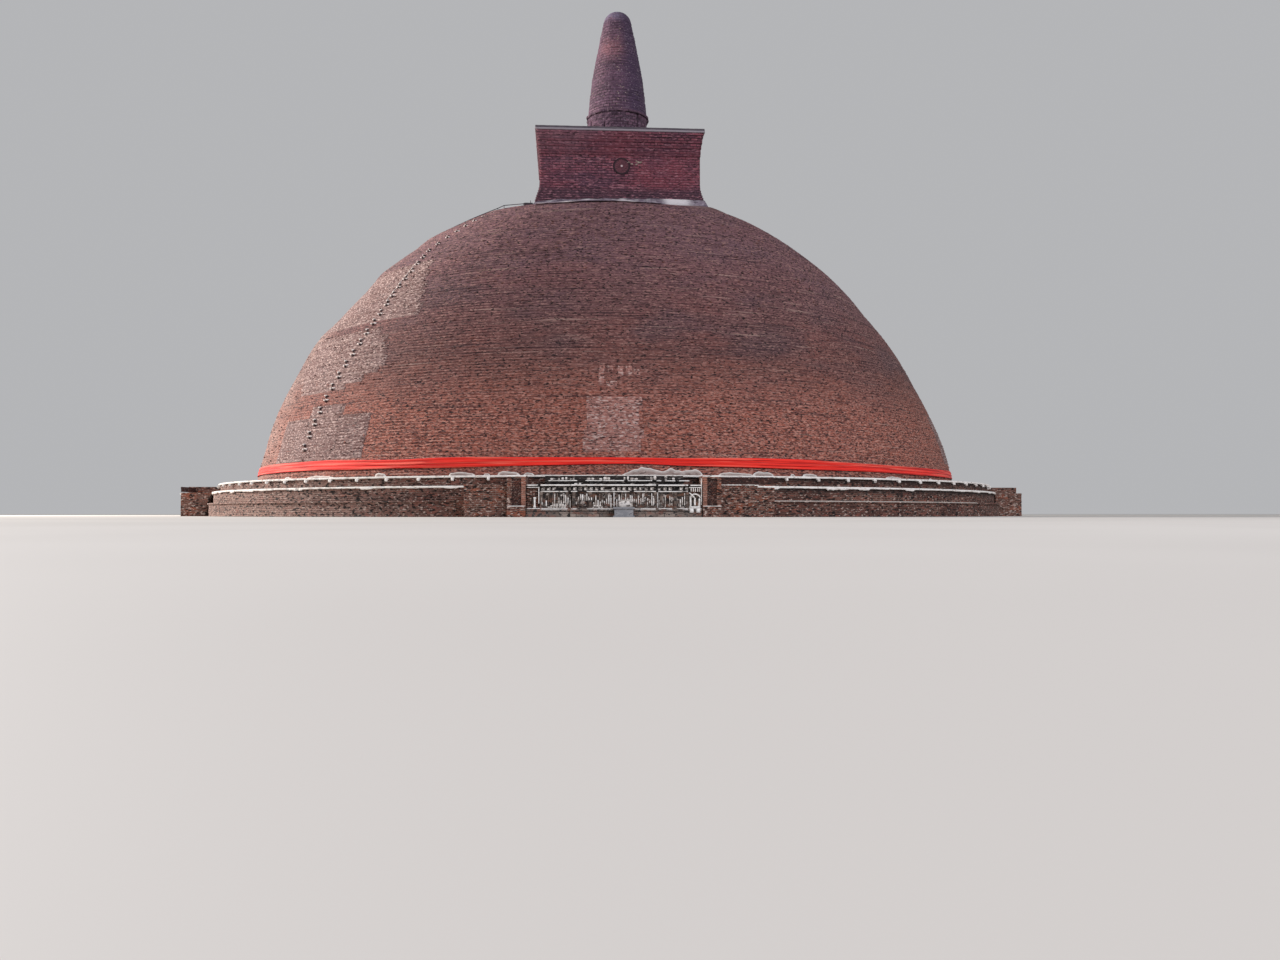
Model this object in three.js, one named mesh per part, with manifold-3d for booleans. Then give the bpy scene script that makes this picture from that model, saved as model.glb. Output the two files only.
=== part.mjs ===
// Brick relic mound on three round terraces, at one tenth of its real size.
// Millimetres, +Z up. The ground is z = 0, the terraces' middle is the Z axis and the front faces -Y.

import * as THREE from 'three';
import { mergeVertices } from 'three/addons/utils/BufferGeometryUtils.js';
import Module from 'manifold-3d';

const wasm = await Module();
wasm.setup();

// How finely round work is cut
const ROUND_SIDES = 72;
const SPIRE_SIDES = 36;
const DISC_SIDES = 20;
const DOME_ROWS = 24;

// Clearance between pieces that are cut to each other
const JOINT = 0.3;

// Terraces, each a round platform of solid brick with an overhanging edge course
const LOWER_TERRACE = { radius: 5470, edgeRadius: 5490, edgeBottom: 148, top: 165 };
const MIDDLE_TERRACE = { radius: 5412, edgeRadius: 5432, edgeBottom: 294, top: 311 };
const UPPER_TERRACE = { radius: 5330, edgeRadius: 5352, edgeBottom: 398, top: 415 };
const UPPER_EDGE_WIDTH = 140;

// Dome: a bowl curve whose radius falls from the foot to a point above the flat crown
const DOME_FOOT_RADIUS = 4876;
const DOME_CURVE_BOTTOM = 350;
const DOME_CURVE_TOP = 4600;
const DOME_RISE_POWER = 1.476;
const DOME_ROUND_POWER = 2.15;
const CROWN_HEIGHT = 4150;

// Restorations left shoulders and flats on the dome's two sides, given here as [height, distance outwards],
// and the crown's edge is worn back at the front
const LEFT_SHOULDERS = [
  [900, 0], [1300, 24], [1700, 24], [1900, 34], [2100, 48], [2250, 56], [2380, 50], [2480, 20], [2600, 0],
  [2800, -8], [3000, -20], [3150, 0], [3250, 36], [3400, 20], [3600, 0], [3760, 40], [3900, 5], [4150, -30],
];
const RIGHT_SHOULDERS = [
  [900, 0], [1300, -20], [1730, -36], [2100, -23], [2450, -25], [2740, -39], [2970, -12], [3300, 0],
];
const CROWN_WEAR = 240;
const WEAR_BOTTOM = 3900;

// Square chamber on the crown, a little off the dome's middle and turned slightly
const CHAMBER_SHIFT = 122;
const CHAMBER_TURN = 1.6;
const PAD_HALF = 1250;
const PAD_BOTTOM = 4000;
const PAD_TOP = 4300;
const BODY_HALF = 1113;
const BASE_TOP = 4600;
const BODY_TOP = 4970;
const CORNICE_TOP = 5316;
const SLAB_HALF = 1178;
const SLAB_TOP = 5370;
const DISC_RADIUS = 120;
const DISC_HEIGHT = 4840;
const DISC_OFFSET = 20;

// Drum, its ledge and the blunt spire, a little further off the dome's middle
const SPIRE_SHIFT = 135;
const DRUM_RADIUS = 450;
const LEDGE_RADIUS = 468;
const LEDGE_BOTTOM = 5862;
const LEDGE_TOP = 5895;
const TIP_RADIUS = 205;
const TIP_BOTTOM = 7320;
const SPIRE_TOP = 7500;

// Prayer cloth wound round the dome just above the terraces
const CLOTH_BOTTOM = 537;
const CLOTH_TOP = 612;
const CLOTH_PROUD = 10;

// Footholds up the dome, on a slightly wavering line of [height, degrees to the left of the front]
const STEPS_LINE = [
  [760, 48.4], [1300, 47.2], [1660, 46.2], [2050, 44.9], [2540, 44.3], [3010, 45], [3270, 46.3], [3400, 47.2],
  [3500, 46.3], [3680, 45.1], [3920, 43.9], [4120, 43],
];
const STEPS_FIRST = 800;
const STEPS_LAST = 4080;
const STEP_PITCH = 154;
const STEP_RISE = 26;
const STEP_REACH = 40;
const STEP_WIDTH = 60;
const STRING_REACH = 8;
const STRING_DEPTH = 120;

// Frontispiece, one on each of the four sides, described on the front one
const CENTRE_HALF = 405;
const WING_HALF = 715;
const LEDGE_HALF = 838;
const UPPER_HALF = 665;
const WING_FRONT = 5650;
const CENTRE_STEP = 40;
const PLINTH_TOP = 87;
const WALL_TOP = 240;
const CORNICE_LEDGE_TOP = 311;
const UPPER_TIER_TOP = 397;
const PIER_INNER = 845;
const PIER_OUTER = 1022;
const PIER_FRONT = 5700;
const FLANK_FRONT = 5610;
const LEFT_FLANK_END = 1440;
const RIGHT_FLANK_END = 1550;
const ALTAR = { middle: 85, width: 185, depth: 150, height: 95 };
const PLINTH_FRONT = WING_FRONT + CENTRE_STEP + 50;

// Materials
const brick = new THREE.MeshStandardMaterial({ color: '#7a4f49', roughness: 0.95, metalness: 0 });
const darkBrick = new THREE.MeshStandardMaterial({ color: '#5f3740', roughness: 0.95, metalness: 0 });
const spireBrick = new THREE.MeshStandardMaterial({ color: '#64495a', roughness: 0.95, metalness: 0 });
const plaster = new THREE.MeshStandardMaterial({ color: '#b7a69f', roughness: 0.9, metalness: 0 });
const limestone = new THREE.MeshStandardMaterial({ color: '#7d6c64', roughness: 0.9, metalness: 0 });
const cotton = new THREE.MeshStandardMaterial({ color: '#d8392c', roughness: 0.85, metalness: 0 });

const stupa = new THREE.Group();

// Names a mesh and hangs it in a group
function addPart(name, geometry, material, parent = stupa) {
  const mesh = new THREE.Mesh(geometry, material);
  mesh.name = name;
  parent.add(mesh);
  return mesh;
}

// Turns a closed geometry into a solid, without the flat triangles that a pole leaves
function toSolid(geometry) {
  const bare = geometry.clone();
  bare.deleteAttribute('normal');
  bare.deleteAttribute('uv');
  const merged = mergeVertices(bare, 0.001);
  const corners = merged.index.array;
  const kept = [];
  for (let i = 0; i < corners.length; i += 3) {
    const [a, b, c] = [corners[i], corners[i + 1], corners[i + 2]];
    if (a !== b && b !== c && c !== a) kept.push(a, b, c);
  }
  const vertProperties = new Float32Array(merged.attributes.position.array);
  return new wasm.Manifold(new wasm.Mesh({ numProp: 3, vertProperties, triVerts: new Uint32Array(kept) }));
}

// Turns a solid back into a geometry
function toGeometry(solid) {
  const mesh = solid.getMesh();
  const geometry = new THREE.BufferGeometry();
  geometry.setAttribute('position', new THREE.BufferAttribute(new Float32Array(mesh.vertProperties), 3));
  geometry.setIndex(new THREE.BufferAttribute(new Uint32Array(mesh.triVerts), 1));
  geometry.computeVertexNormals();
  return geometry;
}

// Joins several geometries that overlap into one closed body
function join(geometries) {
  const solids = geometries.map(toSolid);
  return toGeometry(solids.reduce((whole, next) => whole.add(next)));
}

// Turns a profile of [radius, height] pairs, given from the bottom up, about the Z axis
function turned(profile, sides) {
  const points = profile.map(([radius, height]) => new THREE.Vector2(radius, height));
  return new THREE.LatheGeometry(points, sides).rotateX(Math.PI / 2);
}

// A square block whose half width changes with its height: a turned shape of four sides
function squareBlock(profile) {
  const corners = profile.map(([half, height]) => [half * Math.SQRT2, height]);
  return turned(corners, 4).rotateZ(Math.PI / 4);
}

// A box given by its lowest and highest corners
function block(low, high) {
  const size = high.map((value, i) => value - low[i]);
  const middle = high.map((value, i) => (value + low[i]) / 2);
  return new THREE.BoxGeometry(...size).translate(...middle);
}

// A run of moulding from x = left to x = right, from an outline of [distance out, height] pairs
function moulding(outline, left, right) {
  const shape = new THREE.Shape(outline.map(([out, height]) => new THREE.Vector2(out, height)));
  const run = new THREE.ExtrudeGeometry(shape, { depth: right - left, bevelEnabled: false });
  return run.rotateX(Math.PI / 2).rotateZ(-Math.PI / 2).translate(right, 0, 0);
}

// The value at a place in a list of [place, value] pairs, on straight lines between them, and past either
// end the end's own value
function alongPairs(pairs, place) {
  const above = pairs.findIndex(([next]) => place <= next);
  if (above <= 0) return pairs.at(above)[1];
  const [low, lowValue] = pairs[above - 1];
  const [high, highValue] = pairs[above];
  return THREE.MathUtils.mapLinear(place, low, high, lowValue, highValue);
}

// The radius of the dome's bowl curve at a height
function bowlRadius(height) {
  const rise = (height - DOME_CURVE_BOTTOM) / (DOME_CURVE_TOP - DOME_CURVE_BOTTOM);
  return DOME_FOOT_RADIUS * (1 - rise ** DOME_RISE_POWER) ** (1 / DOME_ROUND_POWER);
}

// The dome's radius at a height and an azimuth in degrees, 0 at the front and rising to the right
function domeRadius(height, azimuth) {
  const { smoothstep } = THREE.MathUtils;
  const left = smoothstep(-azimuth, 50, 62) * (1 - smoothstep(-azimuth, 125, 155));
  const right = smoothstep(azimuth, 45, 60) * (1 - smoothstep(azimuth, 125, 155));
  const worn = smoothstep(height, WEAR_BOTTOM, CROWN_HEIGHT) * (1 - smoothstep(Math.abs(azimuth), 14, 60));
  return bowlRadius(height)
    + left * alongPairs(LEFT_SHOULDERS, height)
    + right * alongPairs(RIGHT_SHOULDERS, height)
    - worn * CROWN_WEAR;
}

// The dome grown outwards by an amount: its bowl curve turned, with rows closing up towards the crown, and
// each point then brought onto the dome's own radius
function domeShape(growth = 0) {
  const foot = UPPER_TERRACE.edgeBottom - growth;
  const profile = [[0, foot]];
  for (let row = 0; row <= DOME_ROWS; row += 1) {
    const height = foot + (CROWN_HEIGHT - foot) * Math.sin((Math.PI / 2) * (row / DOME_ROWS));
    profile.push([bowlRadius(height), height]);
  }
  profile.push([0, CROWN_HEIGHT]);
  const shape = turned(profile, ROUND_SIDES);
  const points = shape.attributes.position;
  for (let i = 0; i < points.count; i += 1) {
    const [x, y, height] = [points.getX(i), points.getY(i), points.getZ(i)];
    const azimuth = THREE.MathUtils.radToDeg(Math.atan2(x, -y));
    const factor = (domeRadius(height, azimuth) + growth) / bowlRadius(height);
    points.setXYZ(i, x * factor, y * factor, height);
  }
  return shape;
}

// Terraces and their edge courses

addPart('lower_terrace', turned([
  [0, 0],
  [LOWER_TERRACE.radius, 0],
  [LOWER_TERRACE.radius, LOWER_TERRACE.edgeBottom],
  [LOWER_TERRACE.edgeRadius, LOWER_TERRACE.edgeBottom],
  [LOWER_TERRACE.edgeRadius, LOWER_TERRACE.top],
  [0, LOWER_TERRACE.top],
], ROUND_SIDES), brick);

addPart('middle_terrace', turned([
  [0, LOWER_TERRACE.top],
  [MIDDLE_TERRACE.radius, LOWER_TERRACE.top],
  [MIDDLE_TERRACE.radius, MIDDLE_TERRACE.edgeBottom],
  [0, MIDDLE_TERRACE.edgeBottom],
], ROUND_SIDES), brick);

addPart('middle_coping', turned([
  [UPPER_TERRACE.radius + JOINT, MIDDLE_TERRACE.edgeBottom],
  [MIDDLE_TERRACE.edgeRadius, MIDDLE_TERRACE.edgeBottom],
  [MIDDLE_TERRACE.edgeRadius, MIDDLE_TERRACE.top],
  [UPPER_TERRACE.radius + JOINT, MIDDLE_TERRACE.top],
  [UPPER_TERRACE.radius + JOINT, MIDDLE_TERRACE.edgeBottom],
], ROUND_SIDES), plaster);

addPart('upper_terrace', turned([
  [0, MIDDLE_TERRACE.edgeBottom],
  [UPPER_TERRACE.radius, MIDDLE_TERRACE.edgeBottom],
  [UPPER_TERRACE.radius, UPPER_TERRACE.edgeBottom],
  [0, UPPER_TERRACE.edgeBottom],
], ROUND_SIDES), brick);

addPart('upper_coping', turned([
  [UPPER_TERRACE.edgeRadius - UPPER_EDGE_WIDTH, UPPER_TERRACE.edgeBottom],
  [UPPER_TERRACE.edgeRadius, UPPER_TERRACE.edgeBottom],
  [UPPER_TERRACE.edgeRadius, UPPER_TERRACE.top],
  [UPPER_TERRACE.edgeRadius - UPPER_EDGE_WIDTH, UPPER_TERRACE.top],
  [UPPER_TERRACE.edgeRadius - UPPER_EDGE_WIDTH, UPPER_TERRACE.edgeBottom],
], ROUND_SIDES), plaster);

// Dome, with a square pocket in its crown for the chamber's footing

const chamber = new THREE.Group();
chamber.position.x = CHAMBER_SHIFT;
chamber.rotation.z = THREE.MathUtils.degToRad(CHAMBER_TURN);
stupa.add(chamber);
const spire = new THREE.Group();
spire.position.x = SPIRE_SHIFT;
stupa.add(spire);

const pocketHalf = PAD_HALF + JOINT;
const pocket = block([-pocketHalf, -pocketHalf, PAD_BOTTOM], [pocketHalf, pocketHalf, SPIRE_TOP]);
pocket.rotateZ(chamber.rotation.z).translate(CHAMBER_SHIFT, 0, 0);
const domeSolid = toSolid(domeShape()).subtract(toSolid(pocket));
addPart('dome', toGeometry(domeSolid), brick);

// What the dome takes from a piece that lies on it
const domeCutter = toSolid(domeShape(JOINT));

// Footholds: a shallow string of brick that follows the dome and carries the steps

// Turns each point of a run about the Z axis, onto the line of footholds
function alongSteps(run) {
  const points = run.attributes.position;
  const up = new THREE.Vector3(0, 0, 1);
  for (let i = 0; i < points.count; i += 1) {
    const point = new THREE.Vector3().fromBufferAttribute(points, i);
    point.applyAxisAngle(up, -THREE.MathUtils.degToRad(alongPairs(STEPS_LINE, point.z)));
    points.setXYZ(i, point.x, point.y, point.z);
  }
  return run;
}

function buildSteps() {
  const radiusAt = (height) => domeRadius(height, -alongPairs(STEPS_LINE, height));
  const start = STEPS_FIRST - STEP_RISE;
  const face = [[radiusAt(STEPS_FIRST) + STRING_REACH, start]];
  const back = [[radiusAt(STEPS_FIRST) - STRING_DEPTH, start]];
  for (let height = STEPS_FIRST; height < STEPS_LAST;) {
    const radius = radiusAt(height);
    const above = height + STEP_RISE;
    const radiusAbove = radiusAt(above);
    face.push([radius + STRING_REACH, height]);
    face.push([radius + STEP_REACH, height]);
    face.push([radius + STEP_REACH, above]);
    face.push([radiusAbove + STRING_REACH, above]);
    back.unshift([radiusAbove - STRING_DEPTH, above]);
    const slope = Math.atan2(STEP_RISE, radius - radiusAbove);
    height += STEP_PITCH * Math.sin(slope);
  }
  const run = moulding([...face, ...back], -STEP_WIDTH / 2, STEP_WIDTH / 2);
  return toGeometry(toSolid(alongSteps(run)).subtract(domeCutter));
}

addPart('dome_steps', buildSteps(), brick);

// Prayer cloth in two lengths, one round the front half of the dome and one round the back

function buildCloth(frontHalf) {
  const band = turned([
    [0, CLOTH_BOTTOM],
    [bowlRadius(CLOTH_BOTTOM) + CLOTH_PROUD, CLOTH_BOTTOM],
    [bowlRadius(CLOTH_TOP) + CLOTH_PROUD, CLOTH_TOP],
    [0, CLOTH_TOP],
  ], ROUND_SIDES);
  const reach = DOME_FOOT_RADIUS * 1.1;
  const nearY = frontHalf ? -reach : JOINT / 2;
  const farY = frontHalf ? -JOINT / 2 : reach;
  const half = block([-reach, nearY, 0], [reach, farY, CLOTH_TOP * 2]);
  return toGeometry(toSolid(band).subtract(domeCutter).intersect(toSolid(half)));
}

addPart('prayer_cloth_front', buildCloth(true), cotton);
addPart('prayer_cloth_back', buildCloth(false), cotton);

// Square chamber: footing, flared base, body, flared cornice and roof slab

addPart('crown_pad', squareBlock([
  [0, PAD_BOTTOM],
  [PAD_HALF, PAD_BOTTOM],
  [PAD_HALF, PAD_TOP],
  [0, PAD_TOP],
]), plaster, chamber);

addPart('chamber_base', squareBlock([
  [0, PAD_TOP],
  [1180, PAD_TOP],
  [1160, 4375],
  [1133, 4465],
  [1117, 4535],
  [BODY_HALF, BASE_TOP],
  [0, BASE_TOP],
]), darkBrick, chamber);

addPart('chamber_body', squareBlock([
  [0, BASE_TOP],
  [BODY_HALF, BASE_TOP],
  [BODY_HALF, BODY_TOP],
  [0, BODY_TOP],
]), darkBrick, chamber);

addPart('chamber_cornice', squareBlock([
  [0, BODY_TOP],
  [BODY_HALF, BODY_TOP],
  [1117, 5040],
  [1126, 5120],
  [1141, 5210],
  [1161, 5290],
  [1161, CORNICE_TOP],
  [0, CORNICE_TOP],
]), darkBrick, chamber);

addPart('chamber_slab', squareBlock([
  [0, CORNICE_TOP],
  [SLAB_HALF, CORNICE_TOP],
  [SLAB_HALF, SLAB_TOP],
  [0, SLAB_TOP],
]), plaster, chamber);

// A round emblem on each face: a raised rim about a dished field with a boss in its middle
const discProfile = [
  [0, 0],
  [DISC_RADIUS, 0],
  [DISC_RADIUS, 14],
  [96, 14],
  [92, 6],
  [30, 6],
  [26, 17],
  [0, 17],
];

const SIDE_NAMES = ['front', 'right', 'back', 'left'];
SIDE_NAMES.forEach((side, quarter) => {
  const disc = turned(discProfile, DISC_SIDES).rotateX(Math.PI / 2);
  disc.translate(DISC_OFFSET, -(BODY_HALF + JOINT), DISC_HEIGHT).rotateZ((quarter * Math.PI) / 2);
  addPart(`disc_${side}`, disc, darkBrick, chamber);
});

// Drum, ledge and spire

addPart('spire_drum', turned([
  [0, SLAB_TOP],
  [DRUM_RADIUS, SLAB_TOP],
  [DRUM_RADIUS, LEDGE_BOTTOM],
  [0, LEDGE_BOTTOM],
], SPIRE_SIDES), spireBrick, spire);

addPart('drum_ledge', turned([
  [0, LEDGE_BOTTOM],
  [LEDGE_RADIUS, LEDGE_BOTTOM],
  [LEDGE_RADIUS, LEDGE_TOP],
  [0, LEDGE_TOP],
], SPIRE_SIDES), spireBrick, spire);

// The tip is a quarter of an ellipse over the top of the cone
function spireProfile() {
  const profile = [
    [0, LEDGE_TOP],
    [436, LEDGE_TOP],
    [412, 6150],
    [380, 6430],
    [330, 6700],
    [290, 6900],
    [256, 7080],
    [222, 7230],
  ];
  const tipSteps = 5;
  for (let step = 0; step < tipSteps; step += 1) {
    const angle = (step / tipSteps) * (Math.PI / 2);
    profile.push([TIP_RADIUS * Math.cos(angle), TIP_BOTTOM + (SPIRE_TOP - TIP_BOTTOM) * Math.sin(angle)]);
  }
  profile.push([0, SPIRE_TOP]);
  return profile;
}

addPart('spire_cone', turned(spireProfile(), SPIRE_SIDES), spireBrick, spire);

// Frontispieces

// What the terraces take from a piece that is built against them
const terraceCutter = toSolid(turned([
  [0, -100],
  [LOWER_TERRACE.edgeRadius + JOINT, -100],
  [LOWER_TERRACE.edgeRadius + JOINT, LOWER_TERRACE.top + JOINT],
  [MIDDLE_TERRACE.edgeRadius + JOINT, LOWER_TERRACE.top + JOINT],
  [MIDDLE_TERRACE.edgeRadius + JOINT, MIDDLE_TERRACE.top + JOINT],
  [UPPER_TERRACE.edgeRadius + JOINT, MIDDLE_TERRACE.top + JOINT],
  [UPPER_TERRACE.edgeRadius + JOINT, UPPER_TERRACE.top + JOINT],
  [0, UPPER_TERRACE.top + JOINT],
], ROUND_SIDES));

// Joins pieces and cuts their backs to the terraces
function againstTerraces(geometries) {
  return toGeometry(toSolid(join(geometries)).subtract(terraceCutter));
}

// An outline of steps, closed at the back: each course is [distance out, bottom, top]
function courses(rows, back) {
  const outline = [[back, rows[0][1]]];
  for (const [out, bottom, top] of rows) {
    outline.push([out, bottom], [out, top]);
  }
  outline.push([back, rows.at(-1)[2]]);
  return outline;
}

const BACK = 5250;

function buildPlinth() {
  const rows = (front) => [
    [front + 50, 0, 30],
    [front + 36, 30, 62],
    [front + 44, 62, 76],
    [front + 14, 76, PLINTH_TOP],
  ];
  return againstTerraces([
    moulding(courses(rows(WING_FRONT), BACK), -LEDGE_HALF, LEDGE_HALF),
    moulding(courses(rows(WING_FRONT + CENTRE_STEP), BACK), -CENTRE_HALF - 15, CENTRE_HALF + 15),
  ]);
}

// The wall: set-back ends, two wings and a middle that stands forward, with pilasters and two standing stones
function buildWall() {
  const centreFront = WING_FRONT + CENTRE_STEP;
  const pieces = [
    block([-LEDGE_HALF, -WING_FRONT + 60, PLINTH_TOP], [LEDGE_HALF, -BACK, WALL_TOP]),
    block([-WING_HALF, -WING_FRONT, PLINTH_TOP], [WING_HALF, -BACK, WALL_TOP]),
    block([-CENTRE_HALF, -centreFront, PLINTH_TOP], [CENTRE_HALF, -BACK, WALL_TOP]),
  ];
  const wingPilasters = [-700, -585, -450, 450, 585, 700];
  const centrePilasters = [-388, -232, -78, 78, 232, 388];
  for (const x of wingPilasters) {
    pieces.push(block([x - 13, -WING_FRONT - 9, PLINTH_TOP], [x + 13, -BACK, WALL_TOP]));
  }
  for (const x of centrePilasters) {
    pieces.push(block([x - 14, -centreFront - 9, PLINTH_TOP], [x + 14, -BACK, WALL_TOP]));
  }
  const carvedStone = [765, 46, 215];
  const slimStone = [-775, 14, 190];
  for (const [x, half, top] of [carvedStone, slimStone]) {
    pieces.push(block([x - half, -WING_FRONT - 6, PLINTH_TOP], [x + half, -BACK, top]));
  }
  return againstTerraces(pieces);
}

// The cornice: a drip course, the recessed frieze and a broad ledge, with what is left of the next
// storey set back on it. Its middle stands forward as the wall's does.
function buildCornice() {
  const rows = (front) => [
    [front + 14, WALL_TOP, 252],
    [front + 2, 252, 290],
    [front + 22, 290, 298],
    [front + 38, 298, CORNICE_LEDGE_TOP],
  ];
  const upperRows = (front) => [
    [front, 300, 342],
    [front + 16, 342, 356],
    [front - 14, 356, UPPER_TIER_TOP],
  ];
  const ledge = block([-LEDGE_HALF, -WING_FRONT - 20, 296], [LEDGE_HALF, -BACK, CORNICE_LEDGE_TOP]);
  return againstTerraces([
    moulding(courses(rows(WING_FRONT), BACK), -WING_HALF - 12, WING_HALF + 12),
    moulding(courses(rows(WING_FRONT + CENTRE_STEP), BACK), -CENTRE_HALF - 12, CENTRE_HALF + 12),
    ledge,
    moulding(courses(upperRows(WING_FRONT - 50), BACK), -UPPER_HALF, UPPER_HALF),
    moulding(courses(upperRows(WING_FRONT - 10), BACK), -CENTRE_HALF, CENTRE_HALF),
  ]);
}

// A brick pier beside the stonework, with the rough brick face that runs on from it
function buildFlank(direction, end) {
  const span = (from, to) => (direction < 0 ? [-to, -from] : [from, to]);
  const [pierLow, pierHigh] = span(PIER_INNER, PIER_OUTER);
  const [flankLow, flankHigh] = span(PIER_INNER + 40, end);
  const jamb = 42;
  return againstTerraces([
    block([pierLow, -PIER_FRONT + 14, 0], [pierHigh, -BACK, UPPER_TERRACE.edgeBottom]),
    block([pierLow, -PIER_FRONT, 100], [pierLow + jamb, -BACK, UPPER_TERRACE.edgeBottom]),
    block([pierHigh - jamb, -PIER_FRONT, 100], [pierHigh, -BACK, UPPER_TERRACE.edgeBottom]),
    block([pierLow, -PIER_FRONT, 370], [pierHigh, -BACK, UPPER_TERRACE.edgeBottom]),
    block([pierLow, -PIER_FRONT - 20, 0], [pierHigh, -BACK, 104]),
    block([flankLow, -FLANK_FRONT, 0], [flankHigh, -BACK, MIDDLE_TERRACE.top]),
  ]);
}

// The flower altar: a plain block between a base slab and a table slab
function buildAltar() {
  const back = PLINTH_FRONT + JOINT;
  const front = back + ALTAR.depth;
  const slab = (grow, bottom, top) => block(
    [ALTAR.middle - ALTAR.width / 2 - grow, -front - grow, bottom],
    [ALTAR.middle + ALTAR.width / 2 + grow, -back, top],
  );
  return join([slab(8, 0, 14), slab(-4, 10, 80), slab(8, 78, ALTAR.height)]);
}

SIDE_NAMES.forEach((side, quarter) => {
  const frontispiece = new THREE.Group();
  frontispiece.rotation.z = (quarter * Math.PI) / 2;
  stupa.add(frontispiece);
  addPart(`frontispiece_plinth_${side}`, buildPlinth(), limestone, frontispiece);
  addPart(`frontispiece_wall_${side}`, buildWall(), limestone, frontispiece);
  addPart(`frontispiece_cornice_${side}`, buildCornice(), limestone, frontispiece);
  addPart(`brick_flank_left_${side}`, buildFlank(-1, LEFT_FLANK_END), brick, frontispiece);
  addPart(`brick_flank_right_${side}`, buildFlank(1, RIGHT_FLANK_END), brick, frontispiece);
  addPart(`flower_altar_${side}`, buildAltar(), limestone, frontispiece);
});

export default stupa;
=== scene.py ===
"""Dresses the one-tenth model of a brick stupa: brickwork, lime plaster, carved stone and prayer cloth.

Lengths are metres in the model's own frame: +Z up, the ground at z = 0, the front facing -Y. An azimuth
is an angle about the Z axis, 0 at the front and positive to the right of someone who faces the front.
Brick and stone sizes in the notes are the real ones; the model has a tenth of them.
"""

import logging
import math
from dataclasses import dataclass, field
from enum import Enum
from typing import Any, Sequence

import bpy
import numpy as np
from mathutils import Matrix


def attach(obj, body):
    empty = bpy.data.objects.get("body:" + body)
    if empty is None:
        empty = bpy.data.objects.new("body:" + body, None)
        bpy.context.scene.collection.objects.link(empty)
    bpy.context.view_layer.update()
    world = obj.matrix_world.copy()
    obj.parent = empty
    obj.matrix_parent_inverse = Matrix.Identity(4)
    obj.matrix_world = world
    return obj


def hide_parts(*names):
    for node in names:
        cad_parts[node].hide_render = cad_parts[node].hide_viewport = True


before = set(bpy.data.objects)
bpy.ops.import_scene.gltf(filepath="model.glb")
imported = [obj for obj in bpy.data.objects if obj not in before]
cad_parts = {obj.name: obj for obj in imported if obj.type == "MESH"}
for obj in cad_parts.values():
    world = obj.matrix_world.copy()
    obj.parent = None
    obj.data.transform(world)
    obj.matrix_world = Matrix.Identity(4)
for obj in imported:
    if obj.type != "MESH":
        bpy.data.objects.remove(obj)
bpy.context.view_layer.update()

log = logging.getLogger("stupa")
Array = np.ndarray
Tree = bpy.types.NodeTree
Socket = bpy.types.NodeSocket
Keyed = dict[Any, Any]
Pairs = tuple[tuple[float, float], ...]
Sizes = tuple[float, ...]
BODY = "root"
SIDES = ("front", "right", "back", "left")


# Numbers and colours


def linear(colour: str) -> tuple[float, float, float, float]:
    """Turns an sRGB hex colour into linear light.

    Args:
        colour: such as "#7c4f47".
    Returns:
        Red, green, blue and a full alpha.
    """
    parts = [int(colour[i : i + 2], 16) / 255 for i in (1, 3, 5)]
    return (*(p / 12.92 if p <= 0.04045 else ((p + 0.055) / 1.055) ** 2.4 for p in parts), 1.0)


def ease(value: Array | float, start: float, end: float) -> Array:
    """Rises smoothly from 0 at start to 1 at end: 3t^2 - 2t^3 of the share t of the way.

    Args:
        value: where to read the rise.
        start: the value that gives 0.
        end: the value that gives 1.
    Returns:
        The rise, as large as value.
    """
    share = np.clip((np.asarray(value, float) - start) / (end - start), 0, 1)
    return share * share * (3 - 2 * share)


def once_round(count: int) -> Array:
    """Evenly spaced angles in radians, once round."""
    return np.arange(count) * 2 * np.pi / count


def bearing(azimuth: Array | float) -> Array:
    """An azimuth in degrees, from -180 to 180."""
    return np.degrees((azimuth + np.pi) % (2 * np.pi) - np.pi)


def column(*values: float) -> Array:
    """Values as a column: one for each row of a grid."""
    return np.array(values)[:, None]


def xyz(x: Array | float, y: Array | float, z: Array | float) -> Array:
    """Points from their coordinates, spread to one shape."""
    return np.stack(np.broadcast_arrays(x, y, z), axis=-1)


def about_axis(radius: Array, azimuth: Array, height: Array | float) -> Array:
    """Points about the Z axis: x = radius sin azimuth, y = -radius cos azimuth, z = height."""
    return xyz(radius * np.sin(azimuth), -radius * np.cos(azimuth), height)


def ripple(azimuth: Array, height: Array, waves: Sequence[tuple[float, float, float, float]]) -> Array:
    """A smooth unevenness: the sum of products of two sine waves, one round the body and one up it.

    Args:
        azimuth: in radians.
        height: in metres.
        waves: for each product its depth, the waves once round, the waves to a metre up, and a phase.
    Returns:
        The unevenness in metres.
    """
    whole = np.zeros(np.broadcast(azimuth, height).shape)
    for depth, around, up, phase in waves:
        rise = np.sin(2 * np.pi * up * height + 2.3 * phase)
        whole = whole + depth * np.sin(around * azimuth + phase) * rise
    return whole


# Surfaces


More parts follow.
